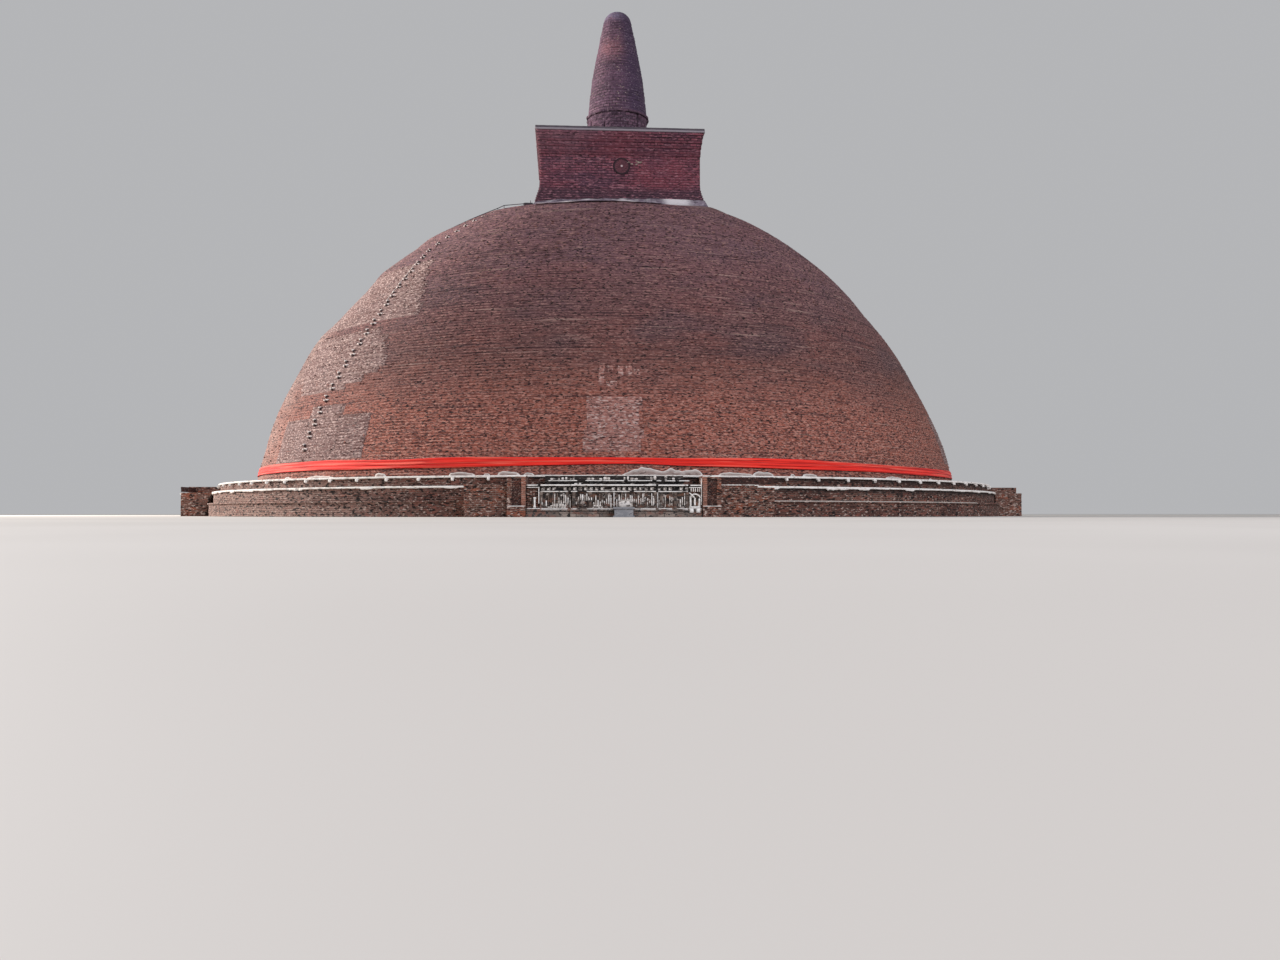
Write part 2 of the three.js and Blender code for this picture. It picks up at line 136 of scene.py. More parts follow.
@dataclass
class Surface:
    """Points and faces of one piece, with what its finish reads from them."""

    points: Array
    faces: list[Array]
    uvs: list[Array] = field(default_factory=list)
    marks: dict[str, Array] = field(default_factory=dict)

    def moved(self, turn: float = 0.0, shift: Sequence[float] = (0.0, 0.0, 0.0)) -> "Surface":
        """The same surface turned about the Z axis and then shifted.

        Args:
            turn: in radians, from the front towards the right.
            shift: along X, Y and Z.
        Returns:
            A new surface with the same faces.
        """
        cos, sin = math.cos(turn), math.sin(turn)
        points = self.points @ np.array([[cos, sin, 0], [-sin, cos, 0], [0, 0, 1]]) + shift
        return Surface(points, self.faces, self.uvs, self.marks)

    def mesh(self, name: str) -> bpy.types.Mesh:
        """Writes the surface into a new mesh.

        Args:
            name: of the mesh.
        Returns:
            The mesh, with the flat map and one attribute for each mark.
        """
        made = bpy.data.meshes.new(name)
        corners = np.concatenate([f.ravel() for f in self.faces])
        sizes = np.concatenate([np.full(len(f), f.shape[1]) for f in self.faces])
        made.vertices.add(len(self.points))
        made.vertices.foreach_set("co", self.points.astype(np.float32).ravel())
        made.loops.add(len(corners))
        made.loops.foreach_set("vertex_index", corners.astype(np.int32))
        made.polygons.add(len(sizes))
        made.polygons.foreach_set("loop_start", (np.cumsum(sizes) - sizes).astype(np.int32))
        made.update(calc_edges=True)
        # The triangles close a shape behind or at its ends, so their rim is sharp and doesn't shade its edge
        edges = np.empty(len(corners), np.int32)
        made.loops.foreach_get("edge_index", edges)
        closing = np.repeat(sizes == 3, sizes)
        numbers = np.arange(len(made.edges))
        rim = np.isin(numbers, edges[closing]) & np.isin(numbers, edges[~closing])
        made.edges.foreach_set("use_edge_sharp", rim)
        for key, values in self.marks.items():
            layer = made.attributes.new(key, "FLOAT", "POINT")
            layer.data.foreach_set("value", np.asarray(values, np.float32).ravel())
        if self.uvs:
            laid = np.concatenate([u.reshape(-1, 2) for u in self.uvs]).astype(np.float32)
            made.uv_layers.new(name="Laid").data.foreach_set("uv", laid.ravel())
        return made


def joined(surfaces: Sequence[Surface]) -> Surface:
    """Puts several surfaces into one, each as loose as it was. A mark that one lacks is 0 there.

    Args:
        surfaces: the parts.
    Returns:
        All parts in one surface.
    """
    starts = np.cumsum([0] + [len(s.points) for s in surfaces])
    keys = sorted({key for s in surfaces for key in s.marks})
    marks = {k: [np.ravel(s.marks.get(k, np.zeros(len(s.points)))) for s in surfaces] for k in keys}
    return Surface(
        np.concatenate([s.points for s in surfaces]),
        [f + start for s, start in zip(surfaces, starts) for f in s.faces],
        [u for s in surfaces for u in s.uvs],
        {k: np.concatenate(values) for k, values in marks.items()},
    )


def grid_faces(rows: int, columns: int, around: bool = False, over: bool = False) -> Array:
    """Four-cornered faces of a grid of points that runs to the right and up as seen from outside.

    Args:
        rows: points up.
        columns: points across.
        around: whether the last column meets the first.
        over: whether the last row meets the first.
    Returns:
        The corners of each face, by the number of their point.
    """
    row = np.arange(rows if over else rows - 1)[:, None]
    left = np.arange(columns if around else columns - 1)[None]
    up, right = (row + 1) % rows, (left + 1) % columns
    corners = (row * columns + left, row * columns + right, up * columns + right, up * columns + left)
    return np.stack(np.broadcast_arrays(*corners), axis=-1).reshape(-1, 4)


def grid_uvs(along: Array, up: Array) -> Array:
    """Corner places on a flat map for the faces of a grid.

    Args:
        along: place of each column line, one more than there are faces across.
        up: place of each row line, one more than there are faces up.
    Returns:
        Two numbers for each corner of each face.
    """
    low, high = up[:-1, None], up[1:, None]
    left, right = along[None, :-1], along[None, 1:]
    corners = ((left, low), (right, low), (right, high), (left, high))
    return np.stack([np.stack(np.broadcast_arrays(*c), axis=-1) for c in corners], axis=2).reshape(-1, 4, 2)


def tube(points: Array, bottom: Sequence[float], top: Sequence[float]) -> Surface:
    """Closes a tube with a fan from its first and its last row to a point.

    Args:
        points: rows by columns of corners, once round and up as seen from outside.
        bottom: the point that closes the first row.
        top: the point that closes the last row.
    Returns:
        The closed surface.
    """
    rows, columns = points.shape[:2]
    here, last, hub = np.arange(columns), (rows - 1) * columns, np.full(columns, rows * columns)
    after = (here + 1) % columns
    low = np.stack([hub, after, here], axis=-1)
    high = np.stack([hub + 1, last + here, last + after], axis=-1)
    corners = np.concatenate([points.reshape(-1, 3), [bottom, top]])
    return Surface(corners, [grid_faces(rows, columns, around=True), low, high])


def turned(radius: Array, height: Array, bond_radius: float) -> Surface:
    """A closed body about the Z axis.

    Args:
        radius: rows from the bottom up by columns once round.
        height: of each row.
        bond_radius: the radius on which the flat map is as long as the wall.
    Returns:
        The body, with a flat map that runs once round.
    """
    columns = radius.shape[1]
    points = about_axis(radius, once_round(columns), height[:, None])
    made = tube(points, (0, 0, height[0]), (0, 0, height[-1]))
    made.uvs = wall_map(2 * np.pi * bond_radius / columns, columns, height)
    return made


def wall_map(step: float, columns: int, height: Array) -> list[Array]:
    """Corner places on a flat map for the wall and both ends of a tube.

    Args:
        step: from one column to the next on the map.
        columns: faces once round.
        height: place of each row on the map.
    Returns:
        One array for each array of the tube's faces.
    """
    lid = np.zeros((columns, 3, 2))
    return [grid_uvs(np.arange(columns + 1) * step, height), lid, lid]


def coursed(
    bed: Array, pitch: float, face: Array, sunk: Array | float, joint: float, lap: float
) -> tuple[Array, Array]:
    """Rows of a wall in courses, each an upright face over a sunk joint.

    Args:
        bed: height of each course's foot.
        pitch: from one course to the next.
        face: distance of each course's face from the middle, by columns.
        sunk: how deep the joint lies.
        joint: how high the joint is.
        lap: what is left free under the next course.
    Returns:
        Distance and height, three rows for each course.
    """
    rows = np.stack([face - sunk, face, face], axis=1).reshape(-1, face.shape[1])
    return rows, np.stack([bed, bed + joint, bed + pitch - lap], axis=1).ravel()


def hoop(section: Array, unevenness: Array) -> Surface:
    """A closed hoop about the Z axis: a section of points carried once round.

    Args:
        section: rows of radius and height, anticlockwise with the radius to the right.
        unevenness: metres outwards and upwards for each row and column.
    Returns:
        The hoop.
    """
    rows, columns = unevenness.shape[:2]
    radius, height = np.moveaxis(section[:, None] + unevenness, -1, 0)
    points = about_axis(radius, once_round(columns), height)
    return Surface(points.reshape(-1, 3), [grid_faces(rows, columns, around=True, over=True)])


def backed(points: Array, inner: Sequence[float], marks: dict[str, Array] | None = None) -> Surface:
    """Closes an open grid with a fan from its edge to one point behind it.

    Args:
        points: rows by columns of corners, to the right and up as seen from outside.
        inner: the point behind the grid.
        marks: values for each point of the grid.
    Returns:
        The closed surface.
    """
    rows, columns = points.shape[:2]
    index = np.arange(rows * columns).reshape(rows, columns)
    edge = np.concatenate([index[0, :-1], index[:-1, -1], index[-1, :0:-1], index[:0:-1, 0]])
    fan = np.stack([np.roll(edge, -1), edge, np.full(len(edge), rows * columns)], axis=-1)
    corners = np.concatenate([points.reshape(-1, 3), np.asarray(inner, float)[None]])
    kept = {k: np.append(np.ravel(v), 0.0) for k, v in (marks or {}).items()}
    return Surface(corners, [grid_faces(rows, columns), fan], [], kept)


def boss(across: float, up: float, points: int = 5) -> Surface:
    """A raised lump on a wall, from -1 to 1 along X and Z and out to y = -1.

    Its height is (1 - |x|^across)^(1/across) times (1 - |z|^up)^(1/up): 2 is round and 8 nearly square.

    Args:
        across: how square it is across.
        up: how square it is upright.
        points: along each edge of its grid.
    Returns:
        The lump, closed by a point a little inside the wall.
    """
    line = np.sin(np.linspace(-np.pi / 2, np.pi / 2, points))
    x, z = np.meshgrid(line, line)
    out = (1 - np.abs(x) ** across) ** (1 / across) * (1 - np.abs(z) ** up) ** (1 / up)
    return backed(xyz(x, -out, z), (0, 0.3, 0))


def stone(squareness: float = 0.45) -> Surface:
    """A block with worn edges, from -1 to 1 each way: a ball whose sines are raised to a power below 1.

    It is drawn a fifth wider than that and cut off at its sides, which makes them flat.

    Args:
        squareness: the power; the nearer to 0, the squarer the block.
    Returns:
        The block, of 24 four-cornered faces and two ends.
    """
    ring = once_round(8) + np.pi / 8
    tilt = np.linspace(-0.42, 0.42, 4)[:, None] * np.pi
    ball = (np.cos(tilt) * np.cos(ring), np.cos(tilt) * np.sin(ring), np.sin(tilt) + 0 * ring)
    body = np.stack([np.sign(v) * np.abs(v) ** squareness for v in ball], axis=-1) * (1.2, 1.2, 1.0)
    return tube(np.clip(body, -1, 1), (0, 0, -1), (0, 0, 1))


def repeated(
    shape: Surface, places: Array | Sequence[Any], sizes: Array | Sequence[Any], turns: Array | float = 0.0
) -> Surface:
    """Sets copies of a small shape: each point is sized, turned about Z and shifted.

    Args:
        shape: the shape, about 1 in half size.
        places: one row of X, Y and Z for each copy, or the place of a single one.
        sizes: half sizes along X, Y and Z for each copy, or for all.
        turns: azimuth of each copy, or of all.
    Returns:
        All copies in one surface.
    """
    places = np.atleast_2d(places)
    count = len(places)
    turns = np.broadcast_to(turns, count)
    sized = shape.points[None] * np.broadcast_to(sizes, (count, 3))[:, None]
    cos, sin = np.cos(turns)[:, None], np.sin(turns)[:, None]
    x = sized[..., 0] * cos - sized[..., 1] * sin
    y = sized[..., 0] * sin + sized[..., 1] * cos
    points = xyz(x, y, sized[..., 2]) + places[:, None]
    offsets = (np.arange(count) * len(shape.points))[:, None, None]
    faces = [(f[None] + offsets).reshape(-1, f.shape[1]) for f in shape.faces]
    return Surface(points.reshape(-1, 3), faces)


def rod(path: Array, radius: float, sides: int = 6) -> Surface:
    """A round rod along a path: rings square to its direction, closed at both ends.

    Args:
        path: points in metres.
        radius: of the rod.
        sides: of each ring.
    Returns:
        The rod.
    """
    run = np.gradient(path, axis=0)
    run /= np.linalg.norm(run, axis=1, keepdims=True)
    across = np.cross(run, (0.0, 0.0, 1.0))
    across /= np.linalg.norm(across, axis=1, keepdims=True)
    lift = np.cross(across, run)
    angle = -once_round(sides)[None, :, None]
    ring = np.cos(angle) * across[:, None] + np.sin(angle) * lift[:, None]
    return tube(path[:, None] + radius * ring, path[0], path[-1])


# Finishes


class Follow(Enum):
    """What a bond follows on a piece."""

    COURSES = "the piece's flat map, along its courses"
    WALLS = "upright walls that face along X or Y"


@dataclass(frozen=True)
class Stain:
    """A layer of colour that shows where a noise pattern lies above a value.

    size is that of its marks across and up in metres, none for an even layer. mark names a value on
    the surface that thins the layer.
    """

    colour: str
    size: tuple[float, float] | None = None
    start: float = 0.5
    end: float = 0.6
    strength: float = 1.0
    mark: str = ""


@dataclass(frozen=True)
class Relief:
    """An unevenness of a given depth, with marks of a size across and up in metres."""

    size: tuple[float, float]
    depth: float


@dataclass(frozen=True)
class Bond:
    """Courses of brick or stone with joints: sizes in metres, and the range of their colours."""

    length: float
    height: float
    joint: float
    light: str
    dark: str
    mortar: str
    depth: float


def add(tree: Tree, kind: str, settings: Keyed | None = None, links: Keyed | None = None) -> bpy.types.Node:
    """Adds a node with its settings and links.

    Args:
        tree: the material's or world's tree.
        kind: the node's type.
        settings: its properties and unlinked inputs, by name or number.
        links: outputs of other nodes for its inputs.
    Returns:
        The node.
    """
    made = tree.nodes.new(kind)
    for key, value in (settings or {}).items():
        if isinstance(key, str) and key in made.bl_rna.properties:
            setattr(made, key, value)
        else:
            made.inputs[key].default_value = value
    for key, source in (links or {}).items():
        tree.links.new(source, made.inputs[key])
    return made


@dataclass(frozen=True)
class Finish:
    """A material: a ground colour or bond, stains over it, and relief."""

    name: str
    colour: str
    roughness: tuple[float, float]
    stains: tuple[Stain, ...] = ()
    reliefs: tuple[Relief, ...] = ()
    bond: Bond | None = None
    follow: Follow = Follow.WALLS
    ior: float = 1.5
    metallic: float = 0.0
    sheen: float = 0.0

    def place(self, tree: Tree) -> Socket:
        """The coordinates that the bond follows.

        Args:
            tree: the material's tree.
        Returns:
            The coordinates.
        """
        source = add(tree, "ShaderNodeTexCoord")
        if self.follow is Follow.COURSES:
            return source.outputs["UV"]
        parts = add(tree, "ShaderNodeSeparateXYZ", None, {0: source.outputs["Object"]})
        along = add(tree, "ShaderNodeMath", {"operation": "ADD"}, {0: parts.outputs[0], 1: parts.outputs[1]})
        return add(tree, "ShaderNodeCombineXYZ", None, {0: along.outputs[0], 1: parts.outputs[2]}).outputs[0]

    def noise(self, tree: Tree, size: Sequence[float]) -> Socket:
        """Noise from 0 to 1 in the model's own frame, with marks of a size across and up.

        Args:
            tree: the material's tree.
            size: across and up in metres.
        Returns:
            The noise.
        """
        source = add(tree, "ShaderNodeTexCoord")
        scale = (1 / size[0], 1 / size[0], 1 / size[1])
        scaled = add(tree, "ShaderNodeMapping", {"Scale": scale}, {0: source.outputs["Object"]})
        made = add(tree, "ShaderNodeTexNoise", {"Scale": 1.0, "Detail": 2.0}, {"Vector": scaled.outputs[0]})
        return made.outputs[0]

    def layer(self, tree: Tree, stain: Stain, under: Socket | None) -> Socket:
        """Lays one stain over the colour so far.

        Args:
            tree: the material's tree.
            stain: the layer.
            under: the colour so far, or None for the ground colour.
        Returns:
            The new colour.
        """
        settings: Keyed = {"data_type": "RGBA", 0: stain.strength, 7: linear(stain.colour)}
        links: Keyed = {}
        if stain.size:
            span = {"From Min": stain.start, "From Max": stain.end, "To Max": stain.strength}
            shown = add(tree, "ShaderNodeMapRange", span, {"Value": self.noise(tree, stain.size)})
            links[0] = shown.outputs[0]
        if stain.mark:
            mark = add(tree, "ShaderNodeAttribute", {"attribute_name": stain.mark}).outputs["Fac"]
            held = {0: mark, 1: links[0]} if 0 in links else {0: mark}
            thinned = {"operation": "MULTIPLY", 1: stain.strength}
            links[0] = add(tree, "ShaderNodeMath", thinned, held).outputs[0]
        if under is None:
            settings[6] = linear(self.colour)
        else:
            links[6] = under
        return add(tree, "ShaderNodeMix", settings, links).outputs[2]

    def material(self) -> bpy.types.Material:
        """Makes the material the first time, and hands out the same one after that.

        Returns:
            The material.
        """
        if self.name in bpy.data.materials:
            return bpy.data.materials[self.name]
        made = bpy.data.materials.new(self.name)
        made.use_nodes = True
        tree = made.node_tree
        shader = tree.nodes["Principled BSDF"]
        shader.inputs["Base Color"].default_value = linear(self.colour)
        shader.inputs["Metallic"].default_value = self.metallic
        shader.inputs["IOR"].default_value = self.ior
        shader.inputs["Sheen Weight"].default_value = self.sheen
        colour = height = None
        if self.bond:
            colours = {"Color1": self.bond.light, "Color2": self.bond.dark, "Mortar": self.bond.mortar}
            sizes = {"Brick Width": self.bond.length, "Row Height": self.bond.height, "Scale": 1.0}
            joints = {"Mortar Size": self.bond.joint, "Mortar Smooth": 0.3}
            laid = {key: linear(colour) for key, colour in colours.items()} | sizes | joints
            brick = add(tree, "ShaderNodeTexBrick", laid, {"Vector": self.place(tree)})
            colour = brick.outputs["Color"]
            sunk = {"operation": "MULTIPLY", 1: -self.bond.depth}
            height = add(tree, "ShaderNodeMath", sunk, {0: brick.outputs["Fac"]}).outputs[0]
        for stain in self.stains:
            colour = self.layer(tree, stain, colour)
        if colour is not None:
            tree.links.new(colour, shader.inputs["Base Color"])
        for number, relief in enumerate(self.reliefs):
            rise = self.noise(tree, relief.size)
            if number == 0:
                span = {"To Min": self.roughness[0], "To Max": self.roughness[1]}
                worn = add(tree, "ShaderNodeMapRange", span, {"Value": rise})
                tree.links.new(worn.outputs[0], shader.inputs["Roughness"])
            rising = {0: rise} if height is None else {0: rise, 2: height}
            raised = {"operation": "MULTIPLY_ADD", 1: relief.depth, 2: 0.0}
            height = add(tree, "ShaderNodeMath", raised, rising).outputs[0]
        bump = add(tree, "ShaderNodeBump", {"Strength": 1.0, "Distance": 1.0}, {"Height": height})
        tree.links.new(bump.outputs[0], shader.inputs["Normal"])
        return made


# Old fired brick laid in courses in lime mortar. Real bricks are 65 mm high and 300 mm long, too fine to
# show, so the dark gaps and pale bricks are drawn 140 mm high and 500 mm long. It gives the eye a brown
# skin broken by short level dashes, redder at the foot and purple grey towards the crown.
OLD_BRICK = Finish(
    "Old_fired_brick_in_lime_mortar_coursed", "#724a43", roughness=(0.85, 1.0),
    stains=(
        Stain("#844e43", (1.3, 0.7), 0.44, 0.68, 0.7),
        Stain("#5d4445", (0.9, 0.35), 0.46, 0.66, 0.8),
        Stain("#7b5a63", mark="high", strength=0.7),
        Stain("#b06653", mark="low", strength=0.8),
        # Paler on the left flank: partly the greyer relaid brick there, partly painted light where the light
        # falls from the left
        Stain("#a38980", (0.5, 0.2), 0.15, 0.65, 0.9, "pale"),
        Stain("#ad8379", (0.04, 0.012), 0.53, 0.61, 0.6),
        Stain("#482b2d", (0.12, 0.014), 0.53, 0.61, 0.65),
        Stain("#38242a", (1.2, 0.013), 0.6, 0.66, 0.65),
        Stain("#bb9b8f", (0.9, 0.016), 0.66, 0.71, 0.6),
        Stain("#cf9888", (0.045, 0.013), 0.53, 0.6, 0.7, "low"),
        Stain("#2b1614", (0.036, 0.012), 0.55, 0.62, 0.75, "low"),
        Stain("#1c1012", (0.036, 0.013), 0.575, 0.63, 0.95),
    ),
    reliefs=(Relief((0.07, 0.02), 0.012), Relief((0.02, 0.008), 0.004)),
)

# The same brick laid again at a repair, with more lime on its face: a cleaner, paler pink skin.
RELAID_BRICK = Finish(
    "Relaid_fired_brick_with_lime_bloom", "#7e605c", roughness=(0.85, 1.0),
    stains=(
        Stain("#8a706d", (0.35, 0.16), 0.4, 0.64, 0.8),
        Stain("#b07b70", mark="warm", strength=0.9),
        Stain("#64423e", (0.07, 0.018), 0.5, 0.6, 0.75),
        Stain("#cdb3ab", (0.04, 0.014), 0.54, 0.61, 0.8),
        Stain("#2e1e20", (0.04, 0.015), 0.585, 0.635, 0.9),
        Stain("#c9b0a8", mark="lip", strength=0.35),
    ),
    reliefs=(Relief((0.07, 0.02), 0.008), Relief((0.02, 0.008), 0.003)),
)

# Brick footholds: the lower blocks dark brown as painted shadow under each step, the upper ones near white
# as painted highlight where the light catches their tops.
FOOTHOLD_BRICK = Finish(
    "Brick_footholds_painted_shadow_and_highlight", "#33211f", roughness=(0.8, 0.95),
    stains=(
        Stain("#53383a", (0.03, 0.02), 0.5, 0.62, 0.6),
        Stain("#fff4ec", mark="pale", strength=1.0),
    ),
    reliefs=(Relief((0.02, 0.012), 0.004),),
)

# Fired brick of the chamber, dark crimson where it is damp and orange where it is broken, darker along its
# corbelled courses as painted shade and a little paler on its left side as painted light. Its courses are
# drawn 360 mm high and 900 mm long in place of 65 by 300 mm, so that they show.
CHAMBER_BRICK = Finish(
    "Crimson_fired_brick_coursed", "#6f3b48", roughness=(0.8, 1.0),
    stains=(
        Stain("#84404a", (0.7, 0.4), 0.42, 0.64, 0.6),
        Stain("#563849", (0.5, 0.3), 0.5, 0.7, 0.6),
        Stain("#84606a", (0.4, 0.3), 0.3, 0.7, 0.7, "pale"),
        Stain("#4b333f", (0.4, 0.2), 0.1, 0.4, 0.8, "damp"),
        Stain("#ad7680", (0.06, 0.016), 0.56, 0.65, 0.7),
        Stain("#2a131c", (0.05, 0.014), 0.575, 0.64, 0.9),
        # Darker along the corbelled courses as painted shade
        Stain("#521c28", mark="corbel", strength=0.5),
    ),
    reliefs=(Relief((0.04, 0.018), 0.008),),
    bond=Bond(0.09, 0.0363, 0.005, "#8e4d59", "#5d3545", "#341c27", 0.005),
    follow=Follow.COURSES,
)

# Cut brick and plaster of the round emblems, with a blackened rim and a bleached boss.
EMBLEM_BRICK = Finish(
    "Cut_brick_emblem_plastered", "#5d343e", roughness=(0.8, 0.95),
    stains=(
        Stain("#733f46", (0.05, 0.02), 0.5, 0.62, 0.6),
        Stain("#2d1a21", (0.03, 0.012), 0.56, 0.62, 0.8),
        Stain("#2b1820", mark="rim", strength=0.95),
        Stain("#cdb8b8", mark="pale", strength=0.9),
    ),
    reliefs=(Relief((0.015, 0.01), 0.003),),
)

# Weathered brick of the spire with a film of old plaster: purple grey, warmer in one patch and grey at the
# tip, with faint rings; darker on its right side, and dark in its cracks and under its ledge, as painted
# shade.
# Drawn as the chamber's brick is.
SPIRE_BRICK = Finish(
    "Weathered_brick_with_old_plaster_film", "#684858", roughness=(0.8, 1.0),
    stains=(
        Stain("#75546a", (0.3, 0.25), 0.42, 0.64, 0.6),
        Stain("#4e3648", (0.5, 0.03), 0.5, 0.64, 0.7),
        Stain("#8d5f68", (0.12, 0.1), 0.2, 0.5, 0.85, "warm"),
        Stain("#7c7089", (0.1, 0.1), 0.2, 0.5, 0.85, "tip"),
        # Painted shade on the right side, away from the light
        Stain("#412e48", mark="lee", strength=0.85),
        Stain("#a08d98", (0.03, 0.014), 0.62, 0.67, 0.6),
        Stain("#24141f", (0.2, 0.012), 0.58, 0.65, 0.7),
        # Dark in the cracks and under the ledge as painted shade
        Stain("#2c1a24", mark="crack", strength=0.8),
    ),
    reliefs=(Relief((0.03, 0.018), 0.01),),
    bond=Bond(0.075, 0.044, 0.005, "#765566", "#553d4e", "#35242f", 0.004),
    follow=Follow.COURSES,
)

# Rough brick of the terrace walls, wide joints with lumps of pale mortar: red brown with white dots, paler
# on the left as painted sunlight and dark under the top on the right as painted shade.
# Drawn 200 mm high and 450 mm long in place of 65 by 300 mm.
TERRACE_BRICK = Finish(
    "Rough_fired_brick_with_wide_lime_joints", "#75493d", roughness=(0.85, 1.0),
    stains=(
        Stain("#4f3028", (0.4, 0.12), 0.42, 0.62, 0.75),
        Stain("#95584a", (0.09, 0.03), 0.54, 0.64, 0.6),
        # Painted sunlight on the left side
        Stain("#b8988d", (0.3, 0.2), 0.1, 0.6, 0.55, "sunned"),
        Stain("#cdb6aa", (0.036, 0.016), 0.6, 0.65, 0.85),
        Stain("#140d0b", (0.05, 0.018), 0.54, 0.6, 0.95),
        # Painted shade under the coping on the right side
        Stain("#211513", mark="damp", strength=0.85),
        Stain("#e2d8cf", mark="edge", strength=0.95),
    ),
    reliefs=(Relief((0.03, 0.014), 0.012),),
    bond=Bond(0.045, 0.0206, 0.003, "#8a5647", "#56352c", "#8b7468", 0.004),
    follow=Follow.COURSES,
)

# The same rough brick on the straight flanks and piers beside the stonework, redder where it has broken.
FLANK_BRICK = Finish(
    "Rough_fired_brick_on_straight_walls", TERRACE_BRICK.colour, roughness=TERRACE_BRICK.roughness,
    stains=(
        Stain("#a55d43", (0.16, 0.07), 0.55, 0.65, 0.7),
        Stain("#cdb6aa", (0.034, 0.016), 0.58, 0.63, 0.9),
        Stain("#140d0b", (0.045, 0.016), 0.55, 0.61, 0.95),
        Stain("#b07a68", mark="lit", strength=0.7),
    ),
    reliefs=TERRACE_BRICK.reliefs,
    bond=TERRACE_BRICK.bond,
    follow=Follow.WALLS,
)

# Brick of the pier panels, laid close with hardly any mortar: dark liver brown as painted shade in the sunk
# panels and under the coping.
PIER_BRICK = Finish(
    "Close_laid_brick_painted_shade", "#3c221d", roughness=(0.8, 0.95),
    stains=(
        Stain("#5f3429", (0.04, 0.016), 0.53, 0.63, 0.6),
        Stain("#170d0b", (0.04, 0.014), 0.52, 0.6, 0.9),
        Stain("#8f766c", (0.03, 0.014), 0.63, 0.67, 0.7),
    ),
    reliefs=(Relief((0.03, 0.014), 0.008),),
)

# Lime plaster floated by hand, bleached white at its broken edges and grey with lichen on its face.
LIME_PLASTER = Finish(
    "Lime_plaster_hand_floated_weathered", "#ab958d", roughness=(0.8, 0.95),
    stains=(
        Stain("#8b756c", (0.12, 0.05), 0.42, 0.6, 0.8),
        Stain("#c9b9b2", (0.06, 0.02), 0.56, 0.64, 0.75),
        Stain("#5d4c46", (0.05, 0.02), 0.57, 0.65, 0.75),
        Stain("#f3ece5", mark="edge", strength=1.0),
    ),
    reliefs=(Relief((0.05, 0.03), 0.006), Relief((0.012, 0.012), 0.002)),
)

# Lime concrete banked round the chamber's foot, grey violet with lichen and white where it was mended.
CROWN_CONCRETE = Finish(
    "Lime_concrete_tamped_weathered", "#857783", roughness=(0.8, 0.95),
    stains=(
        Stain("#675a68", (0.16, 0.03), 0.42, 0.6, 0.8),
        Stain("#a99da6", (0.07, 0.02), 0.55, 0.63, 0.8),
        Stain("#463c47", (0.06, 0.02), 0.56, 0.64, 0.85),
        Stain("#f6f0f0", mark="edge", strength=1.0),
        Stain("#6b4d4b", mark="kerb", strength=0.95),
    ),
    reliefs=(Relief((0.05, 0.03), 0.006),),
)

# The edge courses of the terraces, limewashed lately: nearly white, dirty in streaks, greyer on their
# undersides as painted shade.
LIMEWASH = Finish(
    "Limewashed_edge_course_brushed", "#f6f0ea", roughness=(0.8, 0.95),
    stains=(
        Stain("#c4b7ad", (0.09, 0.03), 0.54, 0.68, 0.8),
        Stain("#75645a", (0.04, 0.012), 0.64, 0.7, 0.8),
        # Greyer on the underside as painted shade
        Stain("#a09085", mark="under", strength=0.7),
        Stain("#94867d", (0.14, 0.08), 0.3, 0.58, 0.85, "top"),
    ),
    reliefs=(Relief((0.04, 0.02), 0.006),),
)

# Limestone cut and carved by hand in blocks: warm grey with black weathering in its hollows.
CARVED_STONE = Finish(
    "Limestone_hand_carved_weathered", "#948278", roughness=(0.75, 0.95),
    stains=(
        Stain("#6d5c54", (0.16, 0.09), 0.46, 0.62, 0.75),
        Stain("#8f5f50", (0.14, 0.05), 0.54, 0.64, 0.65),
        Stain("#d5cbc3", (0.045, 0.03), 0.55, 0.61, 0.8),
        Stain("#191311", (0.045, 0.03), 0.54, 0.6, 0.92),
    ),
    reliefs=(Relief((0.03, 0.012), 0.006), Relief((0.008, 0.008), 0.002)),
    bond=Bond(0.11, 0.052, 0.003, "#a59489", "#75655c", "#1c1614", 0.004),
    follow=Follow.WALLS,
)

# The same limestone in the recess under the ledge, behind the carving, near black as painted shade.
STONE_IN_PAINTED_SHADE = Finish(
    "Limestone_in_recess_painted_shade", "#2c2523", roughness=(0.8, 0.95),
    stains=(
        Stain("#6e615a", (0.09, 0.02), 0.56, 0.63, 0.8),
        Stain("#cfc5bd", (0.07, 0.012), 0.62, 0.67, 0.8),
        Stain("#0f0b0a", (0.06, 0.02), 0.5, 0.58, 0.9),
    ),
    reliefs=(Relief((0.03, 0.012), 0.006),),
)

# The same limestone behind the ribs of the wall, in their shade: brown, its darkness painted shade.
SHADED_STONE = Finish(
    "Limestone_between_ribs_painted_shade", "#584840", roughness=(0.8, 0.95),
    stains=(
        Stain("#33281f", (0.1, 0.06), 0.42, 0.6, 0.7),
        Stain("#80543f", (0.14, 0.05), 0.54, 0.64, 0.7),
        Stain("#b7aaa2", (0.045, 0.03), 0.57, 0.63, 0.8),
        Stain("#120d0b", (0.04, 0.03), 0.52, 0.59, 0.92),
    ),
    reliefs=(Relief((0.03, 0.012), 0.006),),
)

# The same limestone on high carving, near white as painted highlight where the light falls, with dark broken
# spots.
HIGHLIT_CARVING_STONE = Finish(
    "Limestone_carving_painted_highlight", "#f0e8e1", roughness=(0.7, 0.9),
    stains=(
        Stain("#a3958c", (0.05, 0.03), 0.48, 0.6, 0.8),
        Stain("#332a27", (0.045, 0.025), 0.57, 0.62, 0.9),
    ),
    reliefs=(Relief((0.02, 0.012), 0.004),),
)

